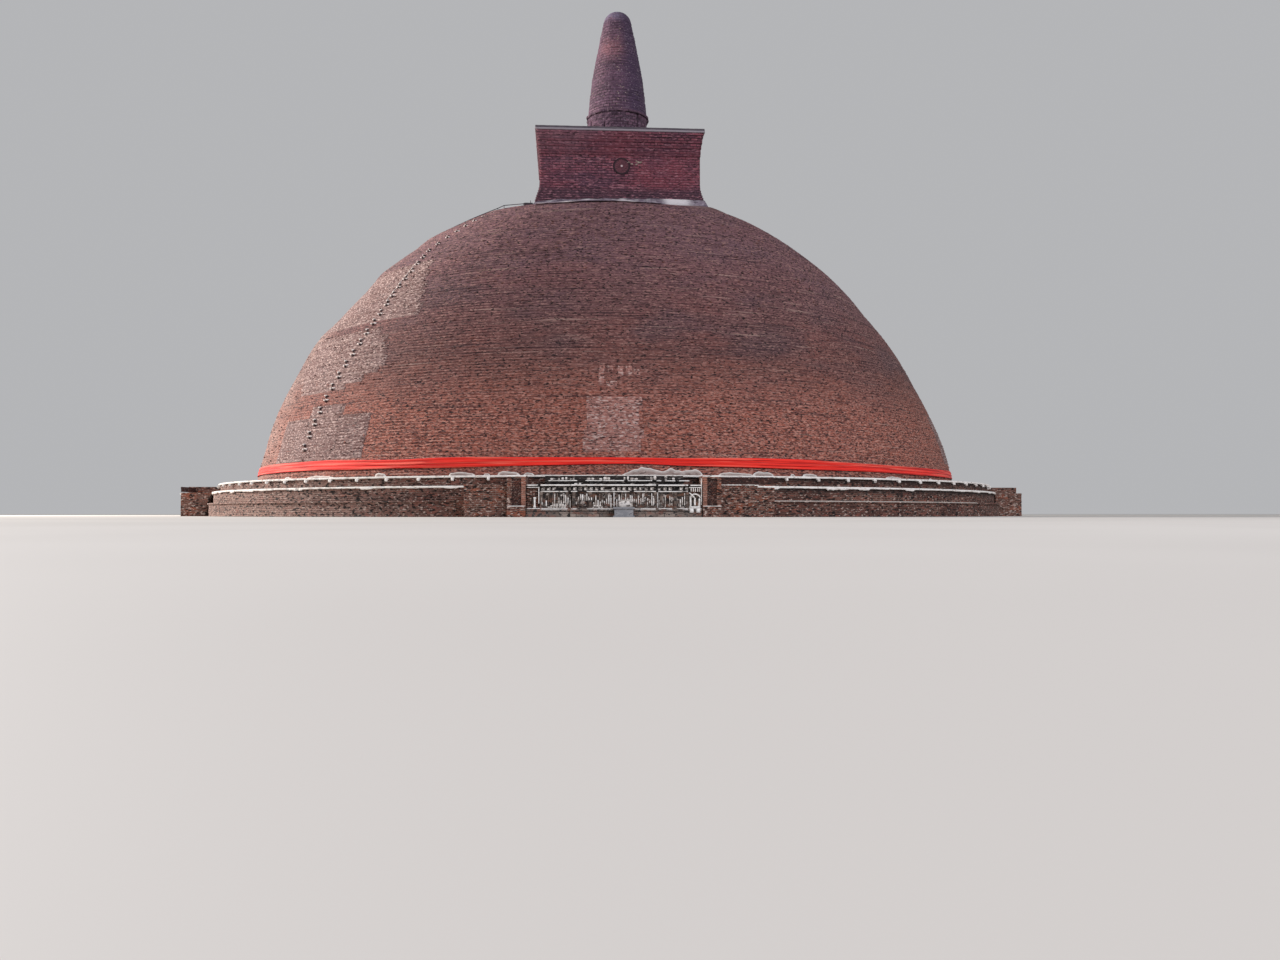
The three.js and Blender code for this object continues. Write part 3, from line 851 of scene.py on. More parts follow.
# The same limestone along the edges that rain washes: washed pale, and near white as painted highlight where
# the light catches them, with a few grey breaks.
WASHED_AND_HIGHLIT_STONE = Finish(
    "Limestone_edges_washed_and_painted_highlight", "#fffaf5", roughness=(0.7, 0.9),
    stains=(
        Stain("#cfc5bd", (0.08, 0.02), 0.52, 0.64, 0.7),
        Stain("#6d615b", (0.05, 0.02), 0.63, 0.68, 0.8),
    ),
    reliefs=(Relief((0.02, 0.012), 0.004),),
)

# Roof slab of the chamber: cement over brick, blackened above a paler drip edge.
ROOF_SLAB = Finish(
    "Cement_roof_slab_blackened", "#4b434b", roughness=(0.75, 0.9),
    stains=(
        Stain("#5f555b", (0.1, 0.03), 0.45, 0.6, 0.7),
        Stain("#948a91", mark="edge", strength=0.95),
    ),
    reliefs=(Relief((0.03, 0.01), 0.003),),
)

# The flower altar's stone slabs, rubbed pale and bluish on top.
ALTAR_STONE = Finish(
    "Granite_slab_dressed_and_rubbed", "#8b8a8e", roughness=(0.6, 0.85),
    stains=(
        Stain("#a9a7a8", (0.06, 0.04), 0.48, 0.62, 0.7),
        Stain("#56535a", (0.03, 0.02), 0.58, 0.66, 0.7),
    ),
    reliefs=(Relief((0.02, 0.02), 0.003),),
)

# Plain woven cotton, dyed red, with long dark streaks as painted shade in its folds and lighter streaks as
# painted highlight. Threads of 0.3 mm are too fine to show, so the weave is drawn 4 mm wide.
RED_COTTON = Finish(
    "Cotton_plain_woven_dyed_red", "#ff3021", roughness=(0.75, 0.95),
    stains=(
        Stain("#c00d08", (0.7, 0.015), 0.5, 0.6, 0.9),
        Stain("#ff6a56", (0.9, 0.02), 0.54, 0.62, 0.8),
    ),
    reliefs=(Relief((0.004, 0.004), 0.0006), Relief((0.5, 0.01), 0.004)),
    sheen=0.1,
)

# Steel tube painted dark grey, thin and matt, its lower run bleached.
RAIL_STEEL = Finish(
    "Steel_tube_painted_dark_grey", "#4a454a", roughness=(0.5, 0.7),
    stains=(
        Stain("#6b5752", (0.03, 0.03), 0.6, 0.68, 0.7),
        Stain("#c8bcb6", mark="pale", strength=0.95),
    ),
    reliefs=(Relief((0.01, 0.01), 0.0004),),
)

# A pale studio floor of sealed concrete, even to the eye.
STUDIO_FLOOR = Finish(
    "Concrete_floated_and_sealed_pale", "#cfcac4", roughness=(0.7, 0.85),
    stains=(Stain("#c7c2bc", (1.5, 1.5), 0.4, 0.6, 0.6),),
    reliefs=(Relief((0.3, 0.3), 0.0005),),
)


def set_up(name: str, data: bpy.types.ID) -> bpy.types.Object:
    """Adds an object to the scene.

    Args:
        name: of the object.
        data: its mesh, light or camera.
    Returns:
        The object.
    """
    made = bpy.data.objects.new(name, data)
    bpy.context.scene.collection.objects.link(made)
    return made


def finished(
    surface: Surface, name: str, finish: Finish, replaces: Sequence[str] = ()
) -> bpy.types.Object:
    """Makes a piece of the model from a surface, dresses it and sets it on the body.

    Args:
        surface: its points and faces, in place.
        name: the piece's name.
        finish: its material.
        replaces: the nodes that it stands for.
    Returns:
        The piece.
    """
    made = set_up(name, surface.mesh(name))
    made.data.materials.append(finish.material())
    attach(made, BODY)
    if replaces:
        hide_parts(*replaces)
    log.info("%s: %d faces", name, len(made.data.polygons))
    return made


def dressed(name: str, finish: Finish) -> None:
    """Gives a node that keeps its own shape a material.

    Args:
        name: of the node.
        finish: its material.
    """
    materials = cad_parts[name].data.materials
    materials.clear()
    materials.append(finish.material())
    log.info("%s: %s", name, finish.name)


# The dome and what lies on it


@dataclass
class Dome:
    """The brick dome, its repairs, its footholds and the plaster left at its foot."""

    foot: float = 0.398
    crown: float = 4.15
    foot_radius: float = 4.876
    curve_bottom: float = 0.35
    curve_top: float = 4.6
    rise_power: float = 1.476
    round_power: float = 2.15
    courses: int = 108
    columns: int = 120
    groove: float = 0.008
    groove_height: float = 0.008
    lap: float = 0.0004
    eye_radius: float = 1.1
    # Restorations left low shoulders and flats on the outline, given here as height and metres outwards
    left_shoulders: Pairs = (
        (0.9, 0.0), (1.3, 0.024), (1.7, 0.024), (1.9, 0.034), (2.1, 0.048), (2.25, 0.056), (2.38, 0.05),
        (2.48, 0.02), (2.6, 0.0), (2.8, -0.008), (3.0, -0.02), (3.15, 0.0), (3.25, 0.036), (3.4, 0.02),
        (3.6, 0.0), (3.76, 0.04), (3.9, 0.005), (4.15, -0.03),
    )
    right_shoulders: Pairs = (
        (0.9, 0.0), (1.3, -0.02), (1.73, -0.036), (2.1, -0.023), (2.45, -0.025), (2.74, -0.039),
        (2.97, -0.012), (3.3, 0.0),
    )
    crown_dip: float = 0.24
    # The line of footholds as height and degrees left of the front
    steps_line: Pairs = (
        (0.76, 48.4), (1.3, 47.2), (1.66, 46.2), (2.05, 44.9), (2.54, 44.3), (3.01, 45.0), (3.27, 46.3),
        (3.4, 47.2), (3.5, 46.3), (3.68, 45.1), (3.92, 43.9), (4.12, 43.0),
    )
    waves: tuple[tuple[float, float, float, float], ...] = (
        (0.004, 5, 0.6, 0.4), (0.003, 11, 1.1, 1.9), (0.002, 23, 1.7, 2.7),
    )

    @property
    def pitch(self) -> float:
        """Height of one course."""
        return (self.crown - self.foot) / self.courses

    def radius(self, height: Array | float, azimuth: Array | float) -> Array:
        """The radius: foot radius times (1 - rise^1.476)^(1/2.15), with shoulders and a slight ripple.

        The crown is worn lower at the front, where its edge draws in.

        Args:
            height: in metres.
            azimuth: in radians.
        Returns:
            The radius in metres.
        """
        height, azimuth = np.asarray(height, float), np.asarray(azimuth, float)
        rise = np.clip((height - self.curve_bottom) / (self.curve_top - self.curve_bottom), 0, 1)
        bowl = self.foot_radius * (1 - rise**self.rise_power) ** (1 / self.round_power)
        degrees = bearing(azimuth)
        # The shoulders lie on the flanks: they come in past 45 degrees and fade by 155
        left = ease(-degrees, 50, 62) * ease(-degrees, 155, 125)
        right = ease(degrees, 45, 60) * ease(degrees, 155, 125)
        extra = left * np.interp(height, *zip(*self.left_shoulders))
        extra = extra + right * np.interp(height, *zip(*self.right_shoulders))
        dip = self.crown_dip * ease(np.abs(degrees), 60, 14) * ease(height, 3.9, self.crown)
        return bowl + extra - dip + ripple(azimuth, height, self.waves)

    def skin(
        self, first: int, last: int, azimuth: Array, proud: float, rough: float, seed: int
    ) -> tuple[Array, Array]:
        """Courses of the dome that sag a little, as rows of radius and height.

        Args:
            first: number of the lowest course.
            last: number of the course after the highest.
            azimuth: of each column.
            proud: how far the faces stand out from the dome.
            rough: how far single stretches of a course stand out or back.
            seed: for the roughness.
        Returns:
            Radius and height, three rows for each course.
        """
        rng = np.random.default_rng(seed)
        bed = self.foot + np.arange(first, last) * self.pitch
        face = self.radius((bed + self.pitch / 2)[:, None], azimuth[None]) + proud
        face = face + rough * rng.uniform(-1, 1, face.shape)
        sunk = self.groove * rng.uniform(0.15, 1.15, face.shape) ** 2
        rows, level = coursed(bed, self.pitch, face, sunk, self.groove_height, self.lap)
        sag = 0.0015 * np.sin(9 * azimuth)[None] + 0.001 * np.sin(31 * azimuth + 1)[None]
        height = level[:, None] + sag
        height[0], height[-1] = bed[0], bed[-1] + self.pitch - 0.0005
        return rows, height

    def sector(self, number: int) -> Surface:
        """A quarter of the dome, with upright sides that meet the next quarters.

        Args:
            number: of the side, from the front to the right.
        Returns:
            The quarter, closed by a point inside the dome.
        """
        azimuth = np.radians(np.linspace(-45, 45, self.columns + 1) + 90 * number)
        radius, height = self.skin(0, self.courses, azimuth, 0.0, 0.0035, 11)
        # All quarters draw the same numbers, so the last column takes the first one's unevenness
        middle = self.foot + (np.arange(self.courses) + 0.5) * self.pitch
        first, last = (np.repeat(self.radius(middle, side), 3) for side in azimuth[[0, -1]])
        radius[:, -1] = last + radius[:, 0] - first
        radius = np.concatenate([radius, np.full((1, len(azimuth)), self.eye_radius)])
        height = np.concatenate([height, np.full((1, len(azimuth)), self.crown - 0.0005)])
        degrees = bearing(azimuth)[None]
        marks = {
            "high": ease(height, 1.2, 3.6),
            "low": ease(height, 1.9, 0.9),
            # pale: partly greyer relaid brick, partly painted light on the flank that the light falls on
            # from the left
            "pale": ease(-degrees, 52, 66) * ease(-degrees, 175, 130) * ease(height, 3.9, 2.4),
        }
        return backed(about_axis(radius, azimuth, height), (0, 0, 2.0), marks)

    def panel(self, left: float, right: float, bottom: float, top: float, seed: int) -> Surface:
        """A repair: whole courses between two azimuths in degrees and two heights, 4 mm proud.

        Args:
            left: azimuth of its left end.
            right: azimuth of its right end.
            bottom: height near which its lowest course starts.
            top: height near which its highest course ends.
            seed: for its roughness.
        Returns:
            The repair, closed behind.
        """
        first = int(round((bottom - self.foot) / self.pitch))
        last = max(int(round((top - self.foot) / self.pitch)), first + 1)
        columns = max(3, int((right - left) / 0.75) + 1)
        rng = np.random.default_rng(seed)
        proud, rough, sunk_ends, margin = 0.004, 0.0015, 0.009, 0.15
        inside = np.linspace(left + margin, right - margin, columns)
        azimuth = np.radians(np.concatenate([[left], inside, [right]]))
        radius, height = self.skin(first, last, azimuth, proud, rough, seed)
        radius[:, [0, -1]] -= sunk_ends
        middle = math.radians((left + right) / 2)
        behind = about_axis(self.radius(top, middle) - 0.08, middle, (bottom + top) / 2)
        warm = np.full(height.shape, float(abs(left + right) < 12))
        shown = rng.uniform(0, 1, columns + 2) > 0.25
        lip = (np.arange(len(height)) < 2)[:, None] * (1 - warm) * shown
        return backed(about_axis(radius, azimuth, height), behind, {"warm": warm, "lip": lip})

    def repairs(self) -> Surface:
        """The relaid patches, each as steps of azimuth from, to, and height from, to.

        Returns:
            All patches.
        """
        patches = [
            (-75, -39.5, 2.99, 3.16), (-75, -37.8, 2.84, 2.99), (-75, -36.2, 2.70, 2.84),
            (-75, -35.0, 2.52, 2.70), (-75, -33.6, 2.34, 2.52),
            (-62, -40.6, 2.13, 2.24), (-62, -38.0, 1.99, 2.13), (-62, -36.8, 1.85, 1.99),
            (-62, -35.9, 1.71, 1.85), (-60, -36.8, 1.64, 1.71), (-58, -39.5, 1.54, 1.64),
            (-57, -43.0, 1.47, 1.54), (-50, -41.0, 1.15, 1.31), (-58, -34.8, 0.64, 1.17),
            (-3.5, 3.9, 1.12, 1.265), (-3.4, 3.4, 0.925, 1.12), (-3.7, 4.0, 0.80, 0.925),
            (-3.8, 3.5, 0.67, 0.80), (-1.9, -1.0, 1.56, 1.63), (-2.0, -1.1, 1.41, 1.53),
            (-0.8, 0.1, 1.55, 1.63), (-0.9, 0.6, 1.37, 1.44), (0.6, 1.5, 1.47, 1.63),
            (1.7, 2.7, 1.52, 1.63), (2.8, 3.8, 1.50, 1.59),
            (150, 171, 1.1, 1.9), (147, 166, 1.9, 2.4), (64, 80, 0.66, 1.3), (-128, -112, 1.0, 1.6),
        ]
        return joined([self.panel(*patch, seed=40 + i) for i, patch in enumerate(patches)])

    def plaster(self) -> Surface:
        """What is left of the plaster at the dome's foot: low sheets with a rounded, broken upper edge.

        Returns:
            All sheets.
        """
        rng = np.random.default_rng(21)
        hump = ((0, 0.35), (0.08, 0.75), (0.3, 1.0), (0.65, 0.92), (0.9, 0.7), (1, 0.35))
        three_humps = (
            (0, 0.2), (0.06, 0.42), (0.15, 0.74), (0.22, 0.97), (0.3, 1.0), (0.38, 0.72), (0.47, 0.58),
            (0.54, 0.72), (0.59, 0.88), (0.66, 0.7), (0.75, 0.62), (0.83, 0.78), (0.9, 0.9), (0.96, 0.6),
            (1, 0.2),
        )
        seen = (
            (-52.7, -50.5, 0.05), (-46.0, -39.5, 0.045), (-32.0, -30.1, 0.06), (-20.8, -17.2, 0.055),
            (-16.1, -15.2, 0.035), (-14.3, -11.4, 0.06), (-11.0, -9.6, 0.04), (13.0, 17.7, 0.05),
            (17.6, 20.6, 0.06), (23.0, 23.7, 0.04), (24.8, 27.2, 0.05),
        )
        sheets = [(1.1, 11.1, 0.095, three_humps)] + [(*sheet, hump) for sheet in seen]
        start = 40.0
        while start < 300:
            width = rng.uniform(1.0, 5.0)
            sheets.append((start, start + width, rng.uniform(0.025, 0.055), hump))
            start += width + rng.uniform(0.5, 12.0)
        return joined([self.sheet_of_plaster(*sheet, rng) for sheet in sheets])

    def sheet_of_plaster(
        self, left: float, right: float, tall: float, outline: Pairs, rng: np.random.Generator
    ) -> Surface:
        """One sheet between two azimuths in degrees, its upper edge an outline of shares across and up.

        Args:
            left: azimuth of its left end.
            right: azimuth of its right end.
            tall: its greatest height over the edge course.
            outline: pairs of share across and share of the height.
            rng: for its raggedness.
        Returns:
            The sheet, closed behind.
        """
        columns = max(9, int((right - left) * 5))
        share = np.linspace(0, 1, columns)
        breaks = columns // 2 + 2
        ragged = np.interp(share, np.linspace(0, 1, breaks), rng.uniform(0.86, 1.1, breaks))
        top = self.foot + 0.018 + tall * np.interp(share, *zip(*outline)) * ragged
        up = column(0.0, 0.3, 0.6, 0.88, 1.0, 1.0)
        height = (self.foot + 0.001) + (top - self.foot)[None] * up
        azimuth = np.radians(left + (right - left) * share)[None] + 0 * height
        proud = column(0.013, 0.014, 0.013, 0.012, 0.011, -0.004) * np.ones(columns)
        proud[:, [0, -1]] = -0.004
        points = about_axis(self.radius(height, azimuth) + proud, azimuth, height)
        edge = column(0, 0, 0, 0.5, 1.0, 1.0) + 0 * height
        edge[:, [0, 1, -2, -1]] = 1.0
        behind = about_axis(self.foot_radius - 0.076, math.radians((left + right) / 2), self.foot + 0.022)
        return backed(points, behind, {"edge": edge})

    def steps(self, height: Array | float) -> Array:
        """Azimuth in radians of the line of footholds at a height."""
        return -np.radians(np.interp(height, *zip(*self.steps_line)))

    def footholds(self) -> Surface:
        """Footholds of brick: each is two dark blocks, one below the other, dark as painted shadow, beside
        pale stones that are a painted highlight.

        Returns:
            All footholds, with a mark on the pale stones.
        """
        heights, height, rise, pitch = [], 0.8, 0.026, 0.154
        while height < self.crown - 0.07:
            heights.append(height)
            above = height + rise
            drop = float(self.radius(height, self.steps(height)) - self.radius(above, self.steps(above)))
            height += pitch * math.sin(math.atan2(rise, drop))
        tread = np.array(heights)
        small = 1 - 0.3 * ease(tread, 2.4, 3.9)
        # Each as place to the right and up, half width, reach, half height, and whether it is pale
        sizes = (
            (0.002, 0.026, 0.012, 0.030, 0.020, 0), (0.034, -0.028, 0.014, 0.032, 0.018, 0),
            (-0.022, 0.044, 0.011, 0.034, 0.011, 1), (-0.002, -0.014, 0.011, 0.034, 0.010, 1),
            (0.050, -0.012, 0.010, 0.030, 0.010, 1),
        )
        parts, pale = [], []
        for across, up, half, reach, tall, is_pale in sizes:
            level = tread + up * small * np.minimum(1, 0.55 + 0.45 * ease(tread, 4.0, 3.0))
            azimuth = self.steps(tread)
            depth = self.radius(level, azimuth) - 0.004
            azimuth = azimuth + across / depth
            size = xyz(half * small, reach, tall * small)
            part = repeated(boss(5, 5), about_axis(depth, azimuth, level), size, azimuth)
            parts.append(part)
            pale.append(np.full(len(part.points), float(is_pale)))
        whole = joined(parts)
        # The pale mark is a painted highlight on the stones' tops
        whole.marks["pale"] = np.concatenate(pale)
        return whole

    def headers(self) -> Surface:
        """Single bricks that stand out of the courses a little, scattered over the dome.

        Returns:
            The bricks.
        """
        rng = np.random.default_rng(8)
        count, bare_courses, cloth_top = 2600, 12, 0.66
        course = (rng.uniform(0, 1, count) ** 1.35 * (self.courses - bare_courses)).astype(int)
        azimuth = rng.uniform(-np.pi, np.pi, count)
        height = self.foot + (course + 0.55) * self.pitch
        above_cloth = height > cloth_top
        azimuth, height = azimuth[above_cloth], height[above_cloth]
        places = about_axis(self.radius(height, azimuth) - 0.002, azimuth, height)
        sizes = rng.uniform((0.012, 0.009, 0.006), (0.026, 0.017, 0.009), (len(places), 3))
        return repeated(boss(8, 8, 4), places, sizes, azimuth)

    def rail(self) -> Surface:
        """A handrail up the crown's left shoulder, its landing at the chamber's corner, and a line below.

        It runs just over the dome on short posts and rises at its end to a post that carries a thin plate.

        Returns:
            The rail, with a mark on the bleached line below.
        """
        azimuth = np.radians([-58, -56, -54, -52, -50, -48, -46])
        level = np.array([3.8, 3.9, 3.98, 4.04, 4.09, 4.13, 4.149])
        landing = (-1.16, -1.2, 4.149)
        foot = np.concatenate([about_axis(self.radius(level, azimuth), azimuth, level), [landing]])
        path = foot.copy()
        path[:, 2] += (0.008, 0.012, 0.015, 0.019, 0.026, 0.036, 0.052, 0.128)
        share = np.linspace(0, 7, 43)
        smooth = np.stack([np.interp(share, np.arange(8), path[:, i]) for i in range(3)], axis=-1)
        rail, post = 0.0055, 0.0045
        posts = [rod(np.array([f - (0, 0.0001, 0.03), t]), post) for f, t in zip(foot[1:], path[1:])]
        knob = rod(np.array([[-1.076, -1.2, 4.28], [-1.076, -1.1999, 4.322]]), post)
        cap = repeated(stone(0.3), (-1.16, -1.2, 4.272), (0.013, 0.013, 0.013))
        plate = repeated(stone(0.3), (-1.105, -1.17, 4.2815), (0.06, 0.05, 0.006))
        level = np.linspace(2.62, 3.2, 14)
        beside = self.steps(level) - 0.009
        line = rod(about_axis(self.radius(level, beside) + 0.016, beside, level), post)
        whole = joined([rod(smooth, rail), *posts, knob, cap, plate, line])
        whole.marks["pale"] = np.arange(len(whole.points)) >= len(whole.points) - len(line.points)
        return whole

    def build(self) -> None:
        """Builds the dome's pieces."""
        for number, side in enumerate(SIDES):
            quarter = self.sector(number)
            finished(quarter, f"dome_{side}", OLD_BRICK, ["dome"])
        finished(self.repairs(), "dome_repairs", RELAID_BRICK)
        finished(self.headers(), "dome_headers", OLD_BRICK)
        finished(self.footholds(), "dome_footholds", FOOTHOLD_BRICK, ["dome_steps"])
        finished(self.plaster(), "dome_foot_plaster", LIME_PLASTER)


@dataclass
class PrayerCloth:
    """Red cotton wound round the dome's foot in two lengths, with long folds, gathered more in some places.

    Its edges are given as azimuth in degrees, height of the lower edge and height of the upper edge.
    """

    edges: tuple[tuple[float, float, float], ...] = (
        (-150, 0.520, 0.612), (-115, 0.512, 0.622), (-80, 0.522, 0.620), (-55, 0.528, 0.634),
        (-41, 0.526, 0.636), (-35, 0.516, 0.622), (-28, 0.520, 0.614), (-22, 0.517, 0.627),
        (-16.6, 0.522, 0.624), (-11.5, 0.529, 0.619), (-6.5, 0.535, 0.618), (-1.6, 0.545, 0.616),
        (3.3, 0.548, 0.611), (8.2, 0.530, 0.608), (13.4, 0.523, 0.620), (18.8, 0.516, 0.622),
        (24.7, 0.508, 0.618), (35, 0.507, 0.596), (44, 0.496, 0.586), (54, 0.492, 0.584),
        (75, 0.500, 0.592), (110, 0.515, 0.620), (150, 0.530, 0.612), (180, 0.524, 0.618),
    )
    cut_width: float = 0.118
    rows: int = 17
    columns: int = 420
    thickness: float = 0.0016
    lift: float = 0.0125
    fold: float = 0.0032
    gap: float = 0.00004

    def length(self, dome: Dome, start: float, end: float) -> tuple[Surface, float]:
        """One length of cloth: a band whose face waves in and out across its width, three folds deep.

        Args:
            dome: what it lies on.
            start: azimuth of its left end.
            end: azimuth of its right end.
        Returns:
            The band and its length in metres.
        """
        azimuth = np.linspace(start, end, self.columns)[None]
        share = np.linspace(0, 1, self.rows)[:, None]
        drift = 0.7 * np.sin(5 * azimuth + 0.7) + 0.45 * np.sin(13 * azimuth + 2.0)
        broad = np.sin(2 * np.pi * (2.6 * share + 0.25 * drift))
        narrow = np.sin(2 * np.pi * (4.1 * share - 0.4 * drift) + 1)
        around = np.degrees(azimuth)
        places, low, high = zip(*self.edges)
        bottom = np.interp(around, places, low, period=360) + 0.001 * np.sin(21 * azimuth)
        top = np.interp(around, places, high, period=360) + 0.0015 * np.sin(17 * azimuth + 0.5)
        height = bottom + (top - bottom) * share
        radius = dome.radius(height, azimuth) + self.lift + self.fold * (broad + 0.5 * narrow)
        points = about_axis(radius, azimuth, height).reshape(-1, 3)
        band = Surface(points, [grid_faces(self.rows, self.columns)])
        return band, float((end - start) * radius.mean())

    def build(self, dome: Dome) -> None:
        """Args:
            dome: what they stand on.
        """
        for half, start in (("front", -np.pi / 2), ("back", np.pi / 2)):
            node = f"prayer_cloth_{half}"
            surface, length = self.length(dome, start + self.gap, start + np.pi - self.gap)
            made = finished(surface, f"{node}_length", RED_COTTON, [node])
            made.data.shade_smooth()
            body = made.modifiers.new("cloth", "SOLIDIFY")
            body.thickness, body.offset = self.thickness, 0.0


# Terraces


@dataclass
class Terraces:
    """Three round brick platforms with limewashed edge courses and drain spouts."""

    columns: int = 480
    spouts: int = 88
    frontispiece_span: float = 11.6
    levels: Sizes = (0.0, 0.165, 0.294, 0.398)
    radii: Sizes = (5.470, 5.412, 5.330)
    edge_height: float = 0.017

    def wall(
        self, bottom: float, top: float, radius: float, courses: int, seed: int, edge: float = 0.0
    ) -> Surface:
        """A round brick wall of courses, each an upright face over a sunk joint.

        Args:
            bottom: height of its foot.
            top: height of its top.
            radius: of its face.
            courses: how many.
            seed: for its roughness.
            edge: height of a plain overhanging edge course at the top, or 0.
        Returns:
            The closed platform.
        """
        rng = np.random.default_rng(seed)
        pitch = (top - edge - bottom) / courses
        bed = bottom + np.arange(courses) * pitch
        face = radius - 0.002 + rng.uniform(-0.004, 0.002, (courses, self.columns))
        rows, height = coursed(bed, pitch, face, 0.005, 0.004, 0.0004)
        if edge:
            worn = radius + 0.018 + rng.uniform(-0.008, 0.0, (3, self.columns))
            worn[2] -= 0.004
            rows = np.concatenate([rows, worn])
            height = np.concatenate([height, [top - edge, top - edge + 0.003, top]])
        height[0] = bottom
        made = turned(rows, height, bond_radius=radius)
        level = np.append(np.repeat(height, self.columns), [bottom, top])
        azimuth = np.arctan2(made.points[:, 0], -made.points[:, 1])
        degrees = np.degrees(azimuth)
        shaded = ease(degrees, -20, 8) * ease(degrees, 175, 150)
        made.marks = {
            # Paler on the left as painted sunlight
            "sunned": ease(-degrees, 12, 40) * ease(-degrees, 175, 140),
            # A dark band under the top on the right, where the coping shades the wall: painted shade
            "damp": ease(level, top - 0.085, top - 0.01) * shaded * (edge == 0),
            "edge": (edge > 0) * (level > top - edge / 2) * (np.sin(azimuth * 3 + 0.6) > -0.2),
        }
        return made

    def coping(
        self, inner: float, outer: float, bottom: float, top: float, seed: int, ragged: float
    ) -> Surface:
        """A plastered edge course: a hoop with a worn outer edge and a ragged underside.

        Args:
            inner: radius of its inner face.
            outer: radius of its edge.
            bottom: height of its underside.
            top: height of its top.
            seed: for its wear.
            ragged: how far lumps of plaster hang below it.
        Returns:
            The hoop.
        """
        rng = np.random.default_rng(seed)
        columns = 1440
        section = np.array([
            (inner, bottom), (outer - 0.02, bottom), (outer - 0.002, bottom + 0.0005),
            (outer, bottom + 0.005), (outer, top - 0.003), (outer - 0.003, top), (outer - 0.03, top),
            (inner, top),
        ])
        wear = np.zeros((len(section), columns, 2))
        # A chip in every twenty-second column, on an edge worn all along
        whole, chip, worn = 0.955, 0.02, 0.004
        chips = -chip * (rng.uniform(0, 1, columns) > whole) - worn * rng.uniform(0, 1, columns)
        wear[2:6, :, 0] = chips
        hang = np.repeat(rng.uniform(0, 1, columns // 6) ** 3, 6)
        wear[2, :, 1] = -0.003 - ragged * hang * rng.uniform(0.6, 1, columns)
        wear[3, :, 1] = 0.7 * wear[2, :, 1]
        wear[1, :, 1] = -0.002 - ragged * 0.5 * hang
        made = hoop(section, wear)
        row = np.repeat(np.arange(len(section)), columns)
        # under marks the underside, greyer as painted shade
        made.marks = {"under": row < 2, "top": row > 5}
        return made

    def drains(self) -> Surface:
        """Stone drain spouts under the upper edge course: a trough, and a lip that turns down.

        Returns:
            All spouts.
        """
        degrees = (np.arange(self.spouts) + 0.71) * 360 / self.spouts
        off_side = np.abs((degrees + 45) % 90 - 45)
        azimuth = np.radians(degrees[off_side > self.frontispiece_span])
        trough, lip = (0.013, 0.042, 0.008), (0.012, 0.022, 0.014)
        return joined([
            repeated(boss(6, 6), about_axis(radius, azimuth, height), half, azimuth)
            for radius, height, half in ((5.328, 0.389, trough), (5.350, 0.377, lip))
        ])

    def build(self) -> None:
        """Builds the platforms, their edges and the spouts."""
        for number, (name, courses) in enumerate((("lower", 7), ("middle", 6), ("upper", 5))):
            bottom, top = self.levels[number : number + 2]
            edge = self.edge_height if number == 0 else 0.0
            platform = self.wall(bottom, top, self.radii[number], courses, 31 + number, edge)
            finished(platform, f"{name}_platform", TERRACE_BRICK, [f"{name}_terrace"])
        for name, level, inner, outer, seed, ragged in (
            ("middle", self.levels[2], 5.3305, 5.432, 34, 0.024),
            ("upper", self.levels[3], 5.212, 5.352, 35, 0.004),
        ):
            edge = self.coping(inner, outer, level + 0.0005, level + self.edge_height, seed, ragged)
            finished(edge, f"{name}_edge_course", LIMEWASH, [f"{name}_coping"])
        finished(self.drains(), "drain_spouts", LIMEWASH)


# Chamber and spire


